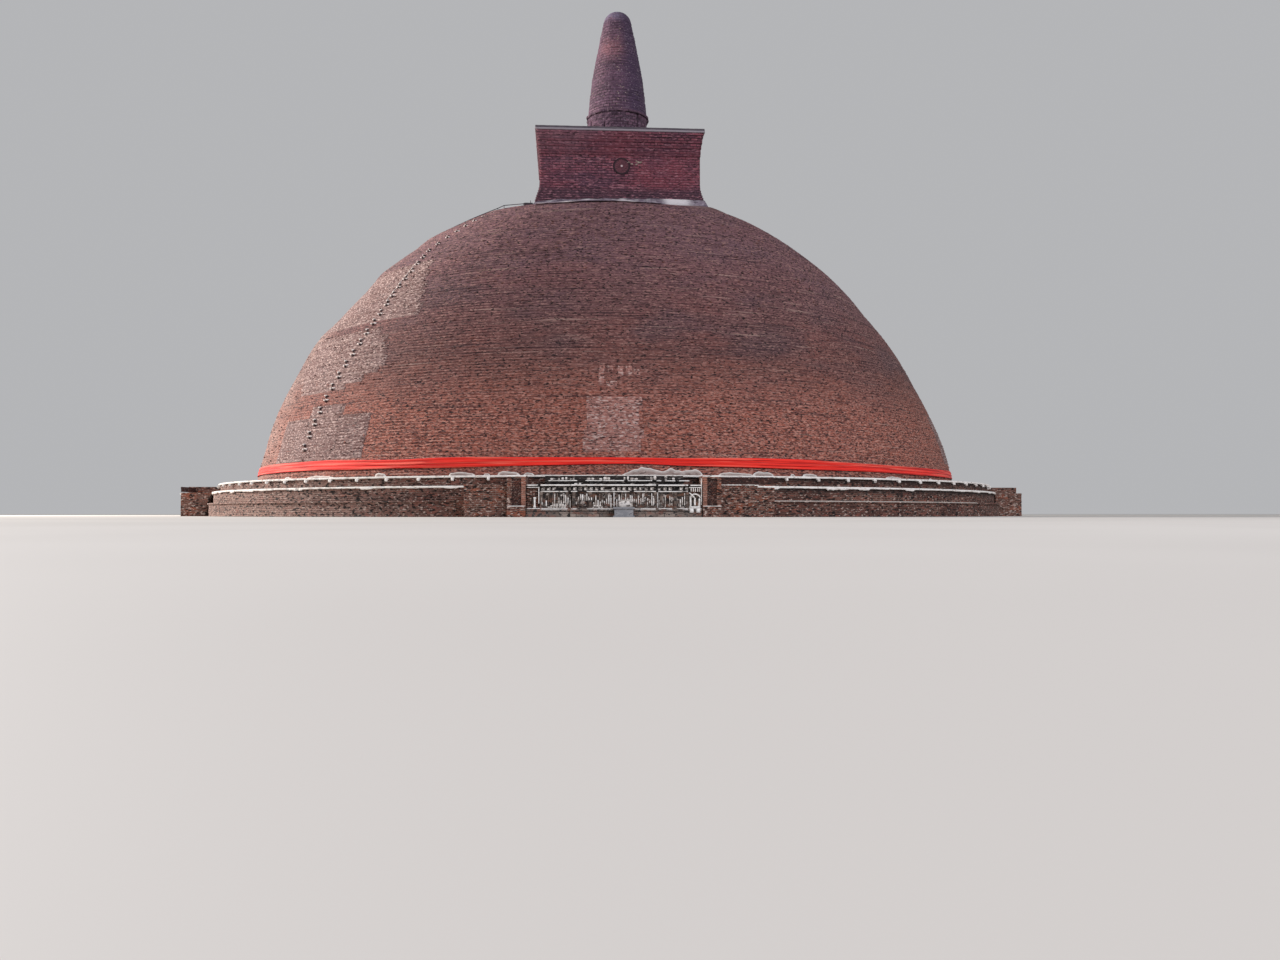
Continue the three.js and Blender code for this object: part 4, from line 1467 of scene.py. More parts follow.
@dataclass
class Chamber:
    """The square chamber on the crown with its emblems, in the frame that it is turned in."""

    shift: float = 0.122
    turn: float = math.radians(1.6)
    footing: float = 4.16
    bottom: float = 4.3
    top: float = 5.316
    slab_top: float = 5.37
    slab_half: float = 1.178
    courses: int = 28
    side_columns: int = 40
    disc_radius: float = 0.12
    disc_height: float = 4.84
    disc_offset: float = 0.02
    body_half: float = 1.113
    # The wall's outline as height and half width
    halves: Pairs = (
        (4.3, 1.179), (4.375, 1.159), (4.465, 1.132), (4.535, 1.116), (4.6, 1.112), (4.97, 1.112),
        (5.04, 1.116), (5.12, 1.125), (5.21, 1.140), (5.29, 1.160), (5.32, 1.161),
    )
    corbels: Sizes = (4.99, 5.06, 5.13, 5.2)
    bank_foot: float = 4.1488
    bank_half: float = 1.17

    def placed(self, surface: Surface) -> Surface:
        """Moves a surface from the chamber's own frame into the model's."""
        return surface.moved(self.turn, (self.shift, 0, 0))

    def square(self, half: Array, height: Array, columns: int) -> Surface:
        """A closed body with four walls: each row is a square whose half width changes along it.

        Args:
            half: rows by four times columns of distances from the middle to the wall.
            height: of each row.
            columns: points to a side.
        Returns:
            The body, with a flat map that runs once round.
        """
        share = np.tile(np.arange(columns) / columns * 2 - 1, 4)
        side = np.repeat(np.arange(4), columns) * np.pi / 2
        corner = half[:, ::columns].repeat(columns, axis=1)
        x, y = share * corner, -half
        flat = (x * np.cos(side) - y * np.sin(side), x * np.sin(side) + y * np.cos(side))
        points = xyz(*flat, height[:, None])
        made = tube(points, (0, 0, height[0]), (0, 0, height[-1]))
        made.uvs = wall_map(2 * self.body_half / columns, 4 * columns, height - self.bottom)
        return made

    def walls(self) -> Surface:
        """Base, body and flared cornice in courses, with corbelled courses that throw a shadow.

        Returns:
            The walls, closed at foot and top.
        """
        rng = np.random.default_rng(51)
        worn_base, corbel_step = 4.46, 0.005
        side_columns, columns = self.side_columns, 4 * self.side_columns
        pitch = (self.top - self.bottom) / self.courses
        bed = self.bottom + np.arange(self.courses) * pitch
        half = np.interp(bed + pitch / 2, *zip(*self.halves))
        is_corbel = (np.abs((bed + pitch / 2)[:, None] - self.corbels) < pitch / 2).any(axis=1)
        half = half + corbel_step * is_corbel
        face = half[:, None] + rng.uniform(-0.003, 0.001, (self.courses, columns))
        face = face + (bed < worn_base)[:, None] * rng.uniform(-0.012, 0.0, face.shape)
        face[:, ::side_columns] = half[:, None] - 0.001
        rows, height = coursed(bed, pitch, face, 0.005, 0.006, 0.0005)
        rows, height = np.concatenate([rows[:1] - 0.002, rows]), np.append(self.footing, height)
        made = self.square(rows, height, side_columns)
        level = np.append(np.repeat(height, columns), [self.footing, self.top])
        number = np.arange(columns)
        side = np.append(np.tile(number // side_columns, len(height)), [0, 0])
        share = np.append(np.tile(number % side_columns / side_columns, len(height)), [0, 0])
        bleached = ease(share, 0.55, 0.1) * ease(level, 4.75, 5.1) * (side == 0)
        # The corbelled courses are coloured darker as painted shade along the cornice
        corbel_rows = np.append(False, np.repeat(is_corbel, 3))
        made.marks = {
            "damp": ease(level, 4.57, 4.47),
            # The left side is a little paler all over as painted light from the left
            "pale": bleached + 0.15 * (side == 3),
            "corbel": np.append(np.repeat(corbel_rows, columns), [0, 0]),
        }
        return made

    def slab(self) -> Surface:
        """The roof slab: worn edges, pale on its edge and dark on top.

        Returns:
            The slab.
        """
        rng = np.random.default_rng(52)
        columns = 60
        height = np.append(self.top + np.array([0.0003, 0.003, 0.024, 0.026]), self.slab_top)
        out = column(0.004, 0.0, 0.0, 0.004, 0.006)
        half = self.slab_half - out - rng.uniform(0, 0.006, (5, 4 * columns))
        made = self.square(half, height, columns)
        made.marks["edge"] = np.append(np.repeat([1.0, 1.0, 1.0, 0.0, 0.0], 4 * columns), [0, 0])
        return made

    def emblem(self, number: int) -> Surface:
        """A round emblem: a raised rim and boss about a field of sixteen petals.

        The height over the field is read from a profile of the radius, and the petals add a cosine of
        sixteen times the angle between boss and rim.

        Args:
            number: of the side, from the front to the right.
        Returns:
            The emblem on its wall.
        """
        rings, columns = 22, 96
        share = np.linspace(1, 0, rings)[:-1, None]
        angle = once_round(columns)[None]
        knots = (0, 0.1, 0.2, 0.24, 0.3, 0.5, 0.74, 0.8, 0.84, 0.95, 1.0)
        rises = (0.017, 0.017, 0.014, 0.005, 0.006, 0.008, 0.005, 0.012, 0.014, 0.013, 0.0)
        petals = 0.003 * np.cos(16 * angle) * ease(share, 0.28, 0.45) * ease(share, 0.78, 0.66)
        out = -(self.body_half - 0.002) - np.interp(share, knots, rises) - petals
        radius = self.disc_radius * share
        x = self.disc_offset + radius * np.cos(angle)
        points = xyz(x, out, self.disc_height + radius * np.sin(angle))
        back, front = ((self.disc_offset, y - self.body_half, self.disc_height) for y in (0.01, -0.015))
        made = tube(points, back, front)
        ring = np.append(np.repeat(share, columns), [1.0, 0.0])
        made.marks = {"pale": ring < 0.11, "rim": ring > 0.78}
        return made.moved(number * np.pi / 2)

    def broken_bricks(self) -> Surface:
        """Pale broken bricks beside the front emblem, and crumbs of plaster along the chamber's foot.

        Returns:
            Bricks and crumbs.
        """
        rng = np.random.default_rng(53)
        bricks, crumbs = 9, 60
        across = rng.uniform(0.1, 0.28, bricks)
        patch = xyz(across, -self.body_half, rng.uniform(4.85, 4.92, bricks))
        low, high = (-1.1, 0, 4.318), (1.12, 0.03, 4.335)
        foot = np.stack([rng.uniform(a, b, crumbs) for a, b in zip(low, high)], axis=-1)
        foot[:, 1] = -1.13 - foot[:, 1]
        sizes = rng.uniform((0.007, 0.004, 0.004), (0.017, 0.009, 0.008), (bricks + crumbs, 3))
        sizes[:bricks] *= 1.5
        turns = rng.uniform(-0.3, 0.3, bricks + crumbs)
        return repeated(stone(), np.concatenate([patch, foot]), sizes, turns)

    def apron(self, dome: Dome) -> Surface:
        """A bank of lime concrete from the dome's crown up to the chamber's walls.

        Its outer edge follows the dome's and its inner edge a square just inside the walls: at an angle u
        about the chamber's middle the square lies at half width / max(|sin u|, |cos u|).

        Args:
            dome: what it lies on.
        Returns:
            The bank, closed inside the walls.
        """
        rng = np.random.default_rng(54)
        columns = 288
        azimuth = once_round(columns) + self.turn
        spread = np.maximum(np.abs(np.sin(once_round(columns))), np.abs(np.cos(once_round(columns))))
        square = self.bank_half / spread
        degrees = bearing(azimuth)
        # How high the bank stands against the wall, by azimuth
        stands = (
            (-180, 4.3), (-110, 4.25), (-60, 4.25), (-46, 4.285), (-43.7, 4.297), (-41.7, 4.314),
            (-39, 4.329), (-33.7, 4.35), (-12, 4.366), (14.6, 4.377), (37, 4.382), (46, 4.369),
            (60, 4.34), (110, 4.31), (180, 4.3),
        )
        level = np.interp(degrees, *zip(*stands))
        knots, across = np.arange(0, columns + 4, 4), np.arange(columns)
        draws = rng.uniform(-0.007, 0.008, (9, len(knots)))
        lumps = np.stack([np.interp(across, knots, row) for row in draws])
        # In front the concrete laps down over the worn brick, and to its right a kerb of brick stands up
        lap = 0.003 + np.interp(degrees, (-36, -24, 8, 20), (0, 0.055, 0.055, 0))
        kerb = 0.002 + np.interp(degrees, (18, 28, 36, 42, 56), (0, 0.016, 0.04, 0.05, 0))
        around = azimuth + np.arcsin(self.shift * np.cos(azimuth) / 1.8)
        # Four rows down over the dome's edge, nine up the bank, and two inside the wall
        low = self.bank_foot - lap * column(1.0, 1.0, 0.4, 0.0) - column(0.003, 0, 0, 0)
        lapped = ease(lap, 0.003, 0.02)
        proud = (column(-0.014, 0.007, 0.010, 0.003) + 0.006) * lapped - 0.006
        reach = dome.radius(low - dome.pitch * lapped, around) + proud
        outer = about_axis(reach, around, 0)[..., :2]
        inner = about_axis(square, azimuth, 0)[:, :2] + (self.shift, 0)
        share = column(0.01, 0.04, 0.16, 0.28, 0.42, 0.57, 0.7, 0.86, 1.0)[..., None]
        rise = column(0.0, 0.01, 0.018, 0.025, 0.07, 0.18, 0.3, 0.64, 1.0)
        base = self.bank_foot + kerb
        bank = base + (level - base) * rise + lumps * column(0, 0.3, 1, 1, 1, 1, 1, 1, 1)
        ends = inner * ((square - 0.07) / square)[:, None]
        flat = np.concatenate([outer, outer[-1] + (inner - outer[-1]) * share, [ends, ends]])
        height = np.concatenate([low, bank, [level + lumps[-1] - 0.002, 0 * level + 4.2]])
        points = np.concatenate([flat, height[..., None]], axis=-1)
        # White where it was mended, in three stretches of a bell shape, and in specks
        specks = rng.uniform(0, 1, (15, columns // 2)) > 0.8
        specks[:5] = specks[4]
        mended = np.exp(-(((degrees - 34) / 6) ** 4))
        for middle in (-19.5, 3):
            mended = mended + 0.7 * np.exp(-(((degrees - middle) / 2.5) ** 2))
        mended = mended + 0.3 * np.repeat(specks, 2, axis=1)
        broken = column(1, 1, 1, 1, 1, 0.4, 0.1, 0.1, 0.15, 0.3, 0.5, 0.75, 1, 1, 1)
        brick = ease(kerb, 0.004, 0.014) * (np.arange(15) < 5)[:, None]
        marks = {"edge": np.clip(mended, 0, 0.95) * broken, "kerb": brick}
        faces = grid_faces(15, columns, around=True, over=True)
        return Surface(points.reshape(-1, 3), [faces], [], marks)

    def build(self, dome: Dome) -> None:
        """Builds the chamber's pieces.

        Args:
            dome: what they stand on.
        """
        finished(self.apron(dome), "crown_apron", CROWN_CONCRETE, ["crown_pad"])
        walls = [f"chamber_{part}" for part in ("base", "body", "cornice")]
        finished(self.placed(self.walls()), "chamber_walls", CHAMBER_BRICK, walls)
        slab = self.placed(self.slab())
        finished(slab, "chamber_roof_slab", ROOF_SLAB, ["chamber_slab"])
        for number, side in enumerate(SIDES):
            emblem = self.placed(self.emblem(number))
            made = finished(emblem, f"emblem_{side}", EMBLEM_BRICK, [f"disc_{side}"])
            made.data.shade_smooth()
        broken = self.placed(self.broken_bricks())
        finished(broken, "chamber_broken_bricks", LIME_PLASTER)


@dataclass
class Spire:
    """The drum, its broken ledge and the blunt cone above."""

    shift: float = 0.135
    drum_radius: float = 0.45
    ledge_radius: float = 0.468
    foot: float = 5.37
    ledge_bottom: float = 5.862
    ledge_top: float = 5.895
    tip_bottom: float = 7.32
    top: float = 7.5
    tip_radius: float = 0.205
    columns: int = 120
    # The cone's outline as height and radius
    cone: Pairs = (
        (5.895, 0.436), (6.15, 0.412), (6.43, 0.38), (6.7, 0.33), (6.9, 0.29), (7.08, 0.256),
        (7.23, 0.222), (7.32, 0.205),
    )

    def courses(
        self, bottom: float, top: float, count: int, inset: float, rough: float, seed: int
    ) -> tuple[Array, Array]:
        """Ring courses as rows of radius and height.

        Args:
            bottom: height of the lowest course's foot.
            top: height of the highest course's top.
            count: how many.
            inset: how far the faces lie inside the CAD outline.
            rough: how far single stretches of a course stand back.
            seed: for the roughness.
        Returns:
            Radius and height, three rows for each course.
        """
        rng = np.random.default_rng(seed)
        pitch = (top - bottom) / count
        bed = bottom + np.arange(count) * pitch
        radius = np.where(bed < self.ledge_bottom, self.drum_radius, np.interp(bed, *zip(*self.cone)))
        face = (radius - inset)[:, None] + rng.uniform(-rough, rough * 0.4, (count, self.columns))
        return coursed(bed, pitch, face, 0.004, 0.006, 0.0005)

    def drum(self) -> Surface:
        """The drum: rough courses with upright cracks where bricks have fallen out.

        Returns:
            The drum about the Z axis.
        """
        rows, height = self.courses(self.foot + 0.0003, self.ledge_bottom, 12, 0.004, 0.012, 61)
        azimuth = once_round(self.columns)
        rng = np.random.default_rng(62)
        crack = np.zeros(rows.shape)
        cracks, half_width, least_height, deep = 16, 0.04, 0.06, 0.03
        for middle in rng.uniform(0, 2 * np.pi, cracks):
            gap = np.abs((azimuth - middle + np.pi) % (2 * np.pi) - np.pi)
            low, high = np.sort(rng.uniform(5.4, 5.84, 2))
            upright = (height > low) & (height < high + least_height)
            crack += (gap < half_width)[None] * upright[:, None]
        crack = np.clip(crack, 0, 1)
        made = turned(rows - deep * crack, height, bond_radius=self.drum_radius)
        # The cracks are coloured dark as painted shade in them
        made.marks["crack"] = np.append(crack.ravel(), [0, 0])
        return made

    def ledge(self) -> Surface:
        """The ledge: a thin course with pieces broken from its edge.

        Returns:
            The ledge about the Z axis.
        """
        rng = np.random.default_rng(63)
        gone = np.repeat(rng.uniform(0, 1, self.columns // 3) > 0.62, 3)
        out = self.ledge_radius - column(0.006, 0.0, 0.002) - gone * rng.uniform(0.01, 0.026, self.columns)
        height = np.array([self.ledge_bottom, self.ledge_bottom + 0.01, self.ledge_top])
        made = turned(out, height, bond_radius=self.drum_radius)
        # The crack mark darkens the ledge's underside all round as painted shade
        made.marks["crack"] = np.append(np.repeat([1.0, 0.2, 0.0], self.columns), [0, 0])
        return made

    def shaft(self) -> Surface:
        """The cone in ring courses, closed by a quarter of an ellipse at its tip.

        Returns:
            The cone about the Z axis.
        """
        rows, height = self.courses(self.ledge_top, self.tip_bottom, 34, 0.002, 0.007, 64)
        angle = np.linspace(0.08, 0.96, 9) * np.pi / 2
        rng = np.random.default_rng(65)
        cap = self.tip_radius * np.cos(angle)[:, None] - rng.uniform(0, 0.005, (9, self.columns))
        rise = self.tip_bottom + (self.top - 0.001 - self.tip_bottom) * np.sin(angle)
        rows, height = np.concatenate([rows, cap]), np.concatenate([height, rise])
        made = turned(rows, height, bond_radius=0.35)
        away = bearing(once_round(self.columns))[None]
        # A warm patch under the tip, left of the front, and the right side darker as painted shade
        warm_height, warm_side = 6.87, -14
        spread = ((height[:, None] - warm_height) / 0.15) ** 2
        warm = 1.4 * np.exp(-spread - ((away - warm_side) / 40) ** 2)
        lee = ease(away, -5, 36) * ease(away, 170, 110) + 0 * warm
        made.marks = {
            "warm": np.append(warm.clip(0, 1), [0, 0]),
            "lee": np.append(lee, [0, 0]),
            "tip": np.append(np.repeat(ease(height, 7.25, 7.42), self.columns), [0, 1]),
            "crack": np.zeros(len(made.points)),
        }
        return made

    def crumbs(self) -> Surface:
        """Crumbs of old plaster down the front of the cone.

        Returns:
            The crumbs about the Z axis.
        """
        rng = np.random.default_rng(66)
        count = 90
        height = rng.uniform(5.9, 7.2, count)
        front, all_round = rng.normal(4, 5, count), rng.uniform(-180, 180, count)
        azimuth = np.radians(np.where(np.arange(count) % 2, front, all_round))
        places = about_axis(np.interp(height, *zip(*self.cone)) - 0.003, azimuth, height)
        sizes = rng.uniform((0.004, 0.005, 0.004), (0.010, 0.009, 0.008), (count, 3))
        return repeated(boss(3, 3, 4), places, sizes, azimuth)

    def build(self) -> None:
        """Builds the spire's pieces."""
        for surface, name, node in (
            (self.drum(), "spire_drum_courses", "spire_drum"),
            (self.ledge(), "spire_ledge_course", "drum_ledge"),
            (self.shaft(), "spire_shaft", "spire_cone"),
        ):
            finished(surface.moved(shift=(self.shift, 0, 0)), name, SPIRE_BRICK, [node])
        crumbs = self.crumbs().moved(shift=(self.shift, 0, 0))
        finished(crumbs, "spire_plaster_crumbs", LIME_PLASTER)


# Frontispieces


@dataclass
class Frontispiece:
    """The carved stonework of one side, described on the front one."""

    number: int
    centre_half: float = 0.405
    wing_half: float = 0.715
    wing_front: float = 5.650
    centre_front: float = 5.690
    pier: float = 0.9335
    pier_front: float = 5.700
    flank_front: float = 5.609
    ledge: float = 0.3045
    plinth: float = 0.0815
    brick_course: float = 0.0206

    @property
    def side(self) -> str:
        """Name of the side."""
        return SIDES[self.number]

    def front_at(self, x: Array) -> Array:
        """Distance of the wall's face from the middle of the stupa, at a place along it."""
        return np.where(np.abs(x) < self.centre_half, self.centre_front, self.wing_front)

    def row(
        self, shape: Surface, x: Array | Sizes, height: float, size: Sizes, proud: float = 0
    ) -> Surface:
        """Copies of a shape in a row along the wall.

        Args:
            shape: what is copied.
            x: places along the wall.
            height: of the row.
            size: half sizes along X, Y and Z.
            proud: how far the row stands out from the wall's face.
        Returns:
            The row.
        """
        x = np.asarray(x)
        return repeated(shape, xyz(x, -(self.front_at(x) + proud), height), size)

    def along(self, step: float, seed: int, gaps: float, half: float | None = None) -> Array:
        """Places along the wall, evenly spaced over the middle and both wings, with some left out.

        Args:
            step: between two places.
            seed: for the gaps.
            gaps: share left out.
            half: how far the row reaches to each side, or None for the wings' ends.
        Returns:
            The places.
        """
        wing = np.arange(self.centre_half + 0.02, half or self.wing_half - 0.012, step)
        middle = np.arange(-self.centre_half + 0.02, self.centre_half - 0.015, step)
        x = np.concatenate([middle, wing, -wing])
        return x[np.random.default_rng(seed).uniform(0, 1, len(x)) > gaps]

    def washed_edges(self) -> list[Surface]:
        """Edges washed pale and drawn white as painted highlight: along the wall, at its ends and on the
        piers, as long thin stones.

        Returns:
            All white edges.
        """
        bar = boss(14, 4)
        made = []
        # Each row as height, how far it stands out, half height, step and share of gaps
        for height, out, thick, step, gaps in (
            (self.ledge, 0.040, 0.0068, 0.05, 0.0), (0.2445, 0.016, 0.0048, 0.05, 0.06),
            (self.plinth, 0.0145, 0.0045, 0.05, 0.12), (0.070, 0.0445, 0.003, 0.05, 0.3),
            (0.349, -0.032, 0.0052, 0.045, 0.28), (0.402, -0.062, 0.004, 0.05, 0.35),
        ):
            x = self.along(step, 60 + self.number, gaps)
            made.append(self.row(bar, x, height, (step * 0.62, 0.008, thick), out - 0.003))
        ends = (0.735, 0.775, 0.815, -0.735, -0.775, -0.815)
        for height, thick in ((self.ledge, 0.0062), (0.284, 0.004), (self.plinth, 0.0045)):
            made.append(self.row(bar, ends, height, (0.024, 0.01, thick), 0.017))
        for x in (-self.pier, self.pier):
            made.append(repeated(bar, (x, -self.pier_front - 0.019, 0.1045), (0.088, 0.006, 0.0035)))
            made.append(repeated(bar, (x, -self.pier_front, 0.3915), (0.09, 0.009, 0.0078)))
        return made + self.washed_uprights() + [self.washed_coping()]

    def washed_uprights(self) -> list[Surface]:
        """White uprights, each as place, distance out, foot and top, with a slim post and a broken frame.

        Returns:
            The uprights.
        """
        made = []
        for x, front, bottom, top in (
            (-0.722, 5.655, 0.13, 0.288), (0.834, 5.672, 0.115, 0.372), (0.413, 5.665, 0.088, 0.285),
            (-0.005, 5.7, 0.1, 0.236),
        ):
            half = (0.0045, 0.012, (top - bottom) / 2)
            made.append(repeated(boss(6, 14), (x, -front, (bottom + top) / 2), half))
        post = ((-0.762, -5.66, 0.14), (-0.762, -5.66, 0.182), (-0.762, -5.66, 0.098))
        halves = ((0.009, 0.012, 0.036), (0.013, 0.014, 0.009), (0.013, 0.016, 0.011))
        made.append(repeated(boss(3, 6), post, halves))
        teeth = (0.736, 0.757, 0.777, 0.799, 0.818)
        made.append(self.row(boss(5, 10), teeth, 0.262, (0.0045, 0.008, 0.019), 0.012))
        slant = np.array([[0.716, -5.7, 0.232], [0.742, -5.7, 0.21], [0.764, -5.7, 0.186]])
        return made + [rod(slant, 0.006)]

    def washed_coping(self) -> Surface:
        """The white coping of the right flank, which sinks and thickens towards its end.

        Returns:
            The coping.
        """
        x = np.linspace(1.05, 1.53, 13)
        sunk = ease(x, 1.35, 1.42)
        places = xyz(x, -5.612, 0.3095 - 0.018 * sunk)
        return repeated(boss(10, 4), places, xyz(0.025, 0.01, 0.0045 + 0.004 * sunk))

    def frieze(self) -> list[Surface]:
        """Carved heads on the dark frieze, each with a lobe to its side, as a row of curls.

        Returns:
            Heads and lobes.
        """
        heads = self.along(0.0525, 50 + self.number, 0.08)
        return [
            self.row(boss(2.4, 2.0, 7), heads, 0.270, (0.0105, 0.016, 0.0165)),
            self.row(boss(2, 2), heads + 0.014, 0.279, (0.011, 0.014, 0.006)),
            self.row(boss(2, 2), heads + 0.015, 0.259, (0.007, 0.012, 0.005)),
        ]

    def ribs(self, seed: int, share: float, proud: float) -> list[Surface]:
        """Upright ribs and slabs of the wall, some 20 mm apart, broken off at differing heights.

        Args:
            seed: for which stand and how high.
            share: how many stand.
            proud: how far they stand out.
        Returns:
            The ribs.
        """
        rng = np.random.default_rng(seed + self.number)
        x = self.along(0.0205, seed, 1 - share)
        x = x + rng.uniform(-0.003, 0.003, len(x))
        plain = (x > -0.36) & (x < -0.2)
        top = np.where(plain, rng.uniform(0.17, 0.225, len(x)), rng.uniform(0.14, 0.232, len(x)))
        bottom = np.where(plain, 0.158, rng.uniform(0.09, 0.135, len(x)))
        places = xyz(x, -(self.front_at(x) + proud), (top + bottom) / 2)
        halves = xyz(rng.uniform(0.0035, 0.0065, len(x)), 0.009, (top - bottom) / 2)
        return [repeated(boss(4, 12), places, halves)]

    def pilasters(self) -> list[Surface]:
        """Three upright ribs on each pilaster, with a square base and a spreading head.

        Returns:
            The pilasters.
        """
        right = np.array([0.078, 0.232, 0.388, 0.450, 0.585, 0.700])
        x = np.concatenate([-right, right])
        rib = (0.004, 0.006, 0.062)
        made = [self.row(boss(2, 10), x + offset, 0.162, rib, 0.008) for offset in (-0.0085, 0, 0.0085)]
        base, head, neck = (0.017, 0.016, 0.008), (0.018, 0.017, 0.009), (0.015, 0.013, 0.005)
        made.append(self.row(boss(8, 8), x, 0.094, base))
        made.append(self.row(boss(6, 6), x, 0.230, head))
        made.append(self.row(boss(4, 3), x, 0.217, neck))
        return made

    def backing(self) -> Surface:
        """The framed slab in the wall behind the flower altar.

        Returns:
            Slab and frame.
        """
        slab = repeated(stone(0.3), (0.107, -5.702, 0.126), (0.06, 0.012, 0.031))
        places = ((0.107, -5.712, 0.1615), (0.043, -5.712, 0.128), (0.171, -5.712, 0.128))
        upright = (0.0035, 0.008, 0.034)
        return joined([slab, repeated(boss(14, 6), places, ((0.07, 0.008, 0.0035), upright, upright))])

    def mouldings(self) -> list[Surface]:
        """Beads and petals along the plinth, and teeth under the ledge.

        Returns:
            The mouldings.
        """
        made = []
        for height, out in ((0.069, 0.038), (0.036, 0.034)):
            x = self.along(0.075, 70 + self.number, 0.18)
            made.append(self.row(boss(12, 2), x, height, (0.036, 0.012, 0.005), out))
        beads, teeth = self.along(0.022, 71, 0.1, 0.82), self.along(0.018, 72, 0.1)
        made.append(self.row(boss(2, 2), beads, 0.053, (0.009, 0.01, 0.009), 0.032))
        made.append(self.row(boss(8, 8, 4), teeth, 0.294, (0.005, 0.026, 0.0025)))
        return made

    def ruin(self) -> list[Surface]:
        """Broken stones of the next storey, standing on the upper tier, and pale steps on the plinth.

        Returns:
            The stones.
        """
        rng = np.random.default_rng(80 + self.number)
        made = []
        # Each row as half length, distance out, foot, greatest height, places and share that stands
        for half, front, base, tall, count, share in (
            (0.40, 5.690, 0.311, 0.016, 22, 0.25), (0.64, 5.600, 0.356, 0.042, 36, 0.6),
            (0.39, 5.643, 0.356, 0.04, 22, 0.6),
        ):
            x = np.linspace(-half, half, count) + rng.uniform(-0.006, 0.006, count)
            x = x[(rng.uniform(0, 1, count) < share) & ((half < 0.5) | (np.abs(x) > 0.41))]
            sizes = rng.uniform((0.008, 0.009, 0.35), (half / count, 0.016, 1.0), (len(x), 3))
            sizes[:, 2] *= tall / 2
            places = xyz(x, 0.012 - front, base + sizes[:, 2] - 0.001)
            made.append(repeated(stone(), places, sizes, rng.uniform(-0.12, 0.12, len(x))))
        lowest = 0.094
        for height, left, right in (
            (lowest, -0.63, -0.45), (0.108, -0.6, -0.45), (0.122, -0.575, -0.48), (lowest, -0.2, -0.11),
            (0.108, -0.19, -0.12),
        ):
            deep = 0.02 - 0.12 * (height - lowest)
            made.append(self.row(boss(6, 6), np.arange(left, right, 0.026), height, (0.0115, deep, 0.0062)))
        return made

    def standing_stones(self) -> list[Surface]:
        """The carved guard stone between two uprights under a lobed hood.

        Returns:
            The stones.
        """
        x, front = 0.772, self.wing_front + 0.006
        parts = [(boss(8, 6), 0, 0.095, (0.056, 0.022, 0.009), 0)]
        for offset, tall in ((-0.042, 0.05), (0.044, 0.038)):
            parts.append((boss(3, 8), offset, 0.104 + tall, (0.0095, 0.018, tall), 0))
        for angle in math.pi * (np.arange(11) + 0.5) / 11:
            across = 0.001 + (0.046 + 0.004 * math.cos(angle)) * math.cos(angle)
            parts.append((boss(2, 2), across, 0.184 + 0.036 * math.sin(angle), (0.008, 0.018, 0.007), 0))
        parts.append((boss(2, 2.5, 7), 0, 0.140, (0.009, 0.011, 0.028), 0))
        parts.append((boss(2, 2, 7), 0, 0.177, (0.008, 0.012, 0.009), 0))
        for offset in (-0.034, 0.03):
            parts.append((boss(2.5, 2.5), offset, 0.062, (0.02, 0.024, 0.022), 0.034))
        return [repeated(shape, (x + dx, -(front + out), z), size) for shape, dx, z, size, out in parts]

    def brickwork(self) -> Surface:
        """Rough bricks that stand out of the flanks and piers, and filled brickwork beside the wings.

        Returns:
            The bricks, with a mark on the lit ones.
        """
        rng = np.random.default_rng(90 + self.number)
        count, brick = 420, boss(8, 8, 4)
        on_left = rng.uniform(0, 1, count) < 0.5
        x = np.where(on_left, rng.uniform(-1.43, -1.03, count), rng.uniform(1.03, 1.54, count))
        height = 0.012 + rng.integers(0, 15, count) * self.brick_course
        sizes = rng.uniform((0.012, 0.003, 0.006), (0.021, 0.010, 0.009), (count, 3))
        loose = repeated(brick, xyz(x, -self.flank_front, height), sizes)
        places = np.array([
            (middle + edge, -self.pier_front, height)
            for middle in (-self.pier, self.pier)
            for height in np.arange(0.112, 0.395, self.brick_course)
            for edge in (-0.067, 0.067)
        ])
        sizes = rng.uniform((0.020, 0.002, 0.0075), (0.023, 0.005, 0.0092), (len(places), 3))
        piers = repeated(brick, places, sizes)
        # The light catches the edge of each pier that faces the wall
        piers.marks["lit"] = np.repeat(np.abs(places[:, 0]) < self.pier, len(brick.points))
        x, height = np.meshgrid((0.742, 0.772, 0.802, 0.829), np.arange(0.0975, 0.29, 0.0205))
        x, height = np.concatenate([x.ravel(), -x.ravel()]), np.tile(height.ravel(), 2)
        sizes = rng.uniform((0.0152, 0.142, 0.0103), (0.0158, 0.154, 0.011), (len(x), 3))
        filled_middle = 5.49
        filled = repeated(stone(0.3), xyz(x, -filled_middle, height), sizes)
        return joined([loose, piers, filled])

    def pier_panels(self) -> Surface:
        """Courses of brick in the sunk panel of each pier and below the coping on the right, dark as painted
        shade.

        Returns:
            The bricks.
        """
        rng = np.random.default_rng(95 + self.number)
        panel_front, band_front, shift = 5.6855, 5.608, 0.006
        x, height = np.meshgrid(np.linspace(-0.037, 0.037, 4), np.arange(0.114, 0.37, 0.0165))
        # Every other course is shifted the other way
        x = (x + shift * (np.arange(len(height)) % 2 * 2 - 1)[:, None]).ravel()
        x = np.concatenate([x - self.pier, x + self.pier])
        sizes = rng.uniform((0.0118, 0.003, 0.0074), (0.0125, 0.009, 0.0082), (len(x), 3))
        panels = repeated(boss(8, 8, 4), xyz(x, -panel_front, np.tile(height.ravel(), 2)), sizes)
        x, height = np.meshgrid(np.linspace(1.045, 1.52, 12), (0.3285, 0.345, 0.3615, 0.378))
        sizes = rng.uniform((0.0215, 0.003, 0.0078), (0.0218, 0.008, 0.0082), (x.size, 3))
        band = repeated(stone(0.3), xyz(x, -band_front, height).reshape(-1, 3), sizes)
        return joined([panels, band])

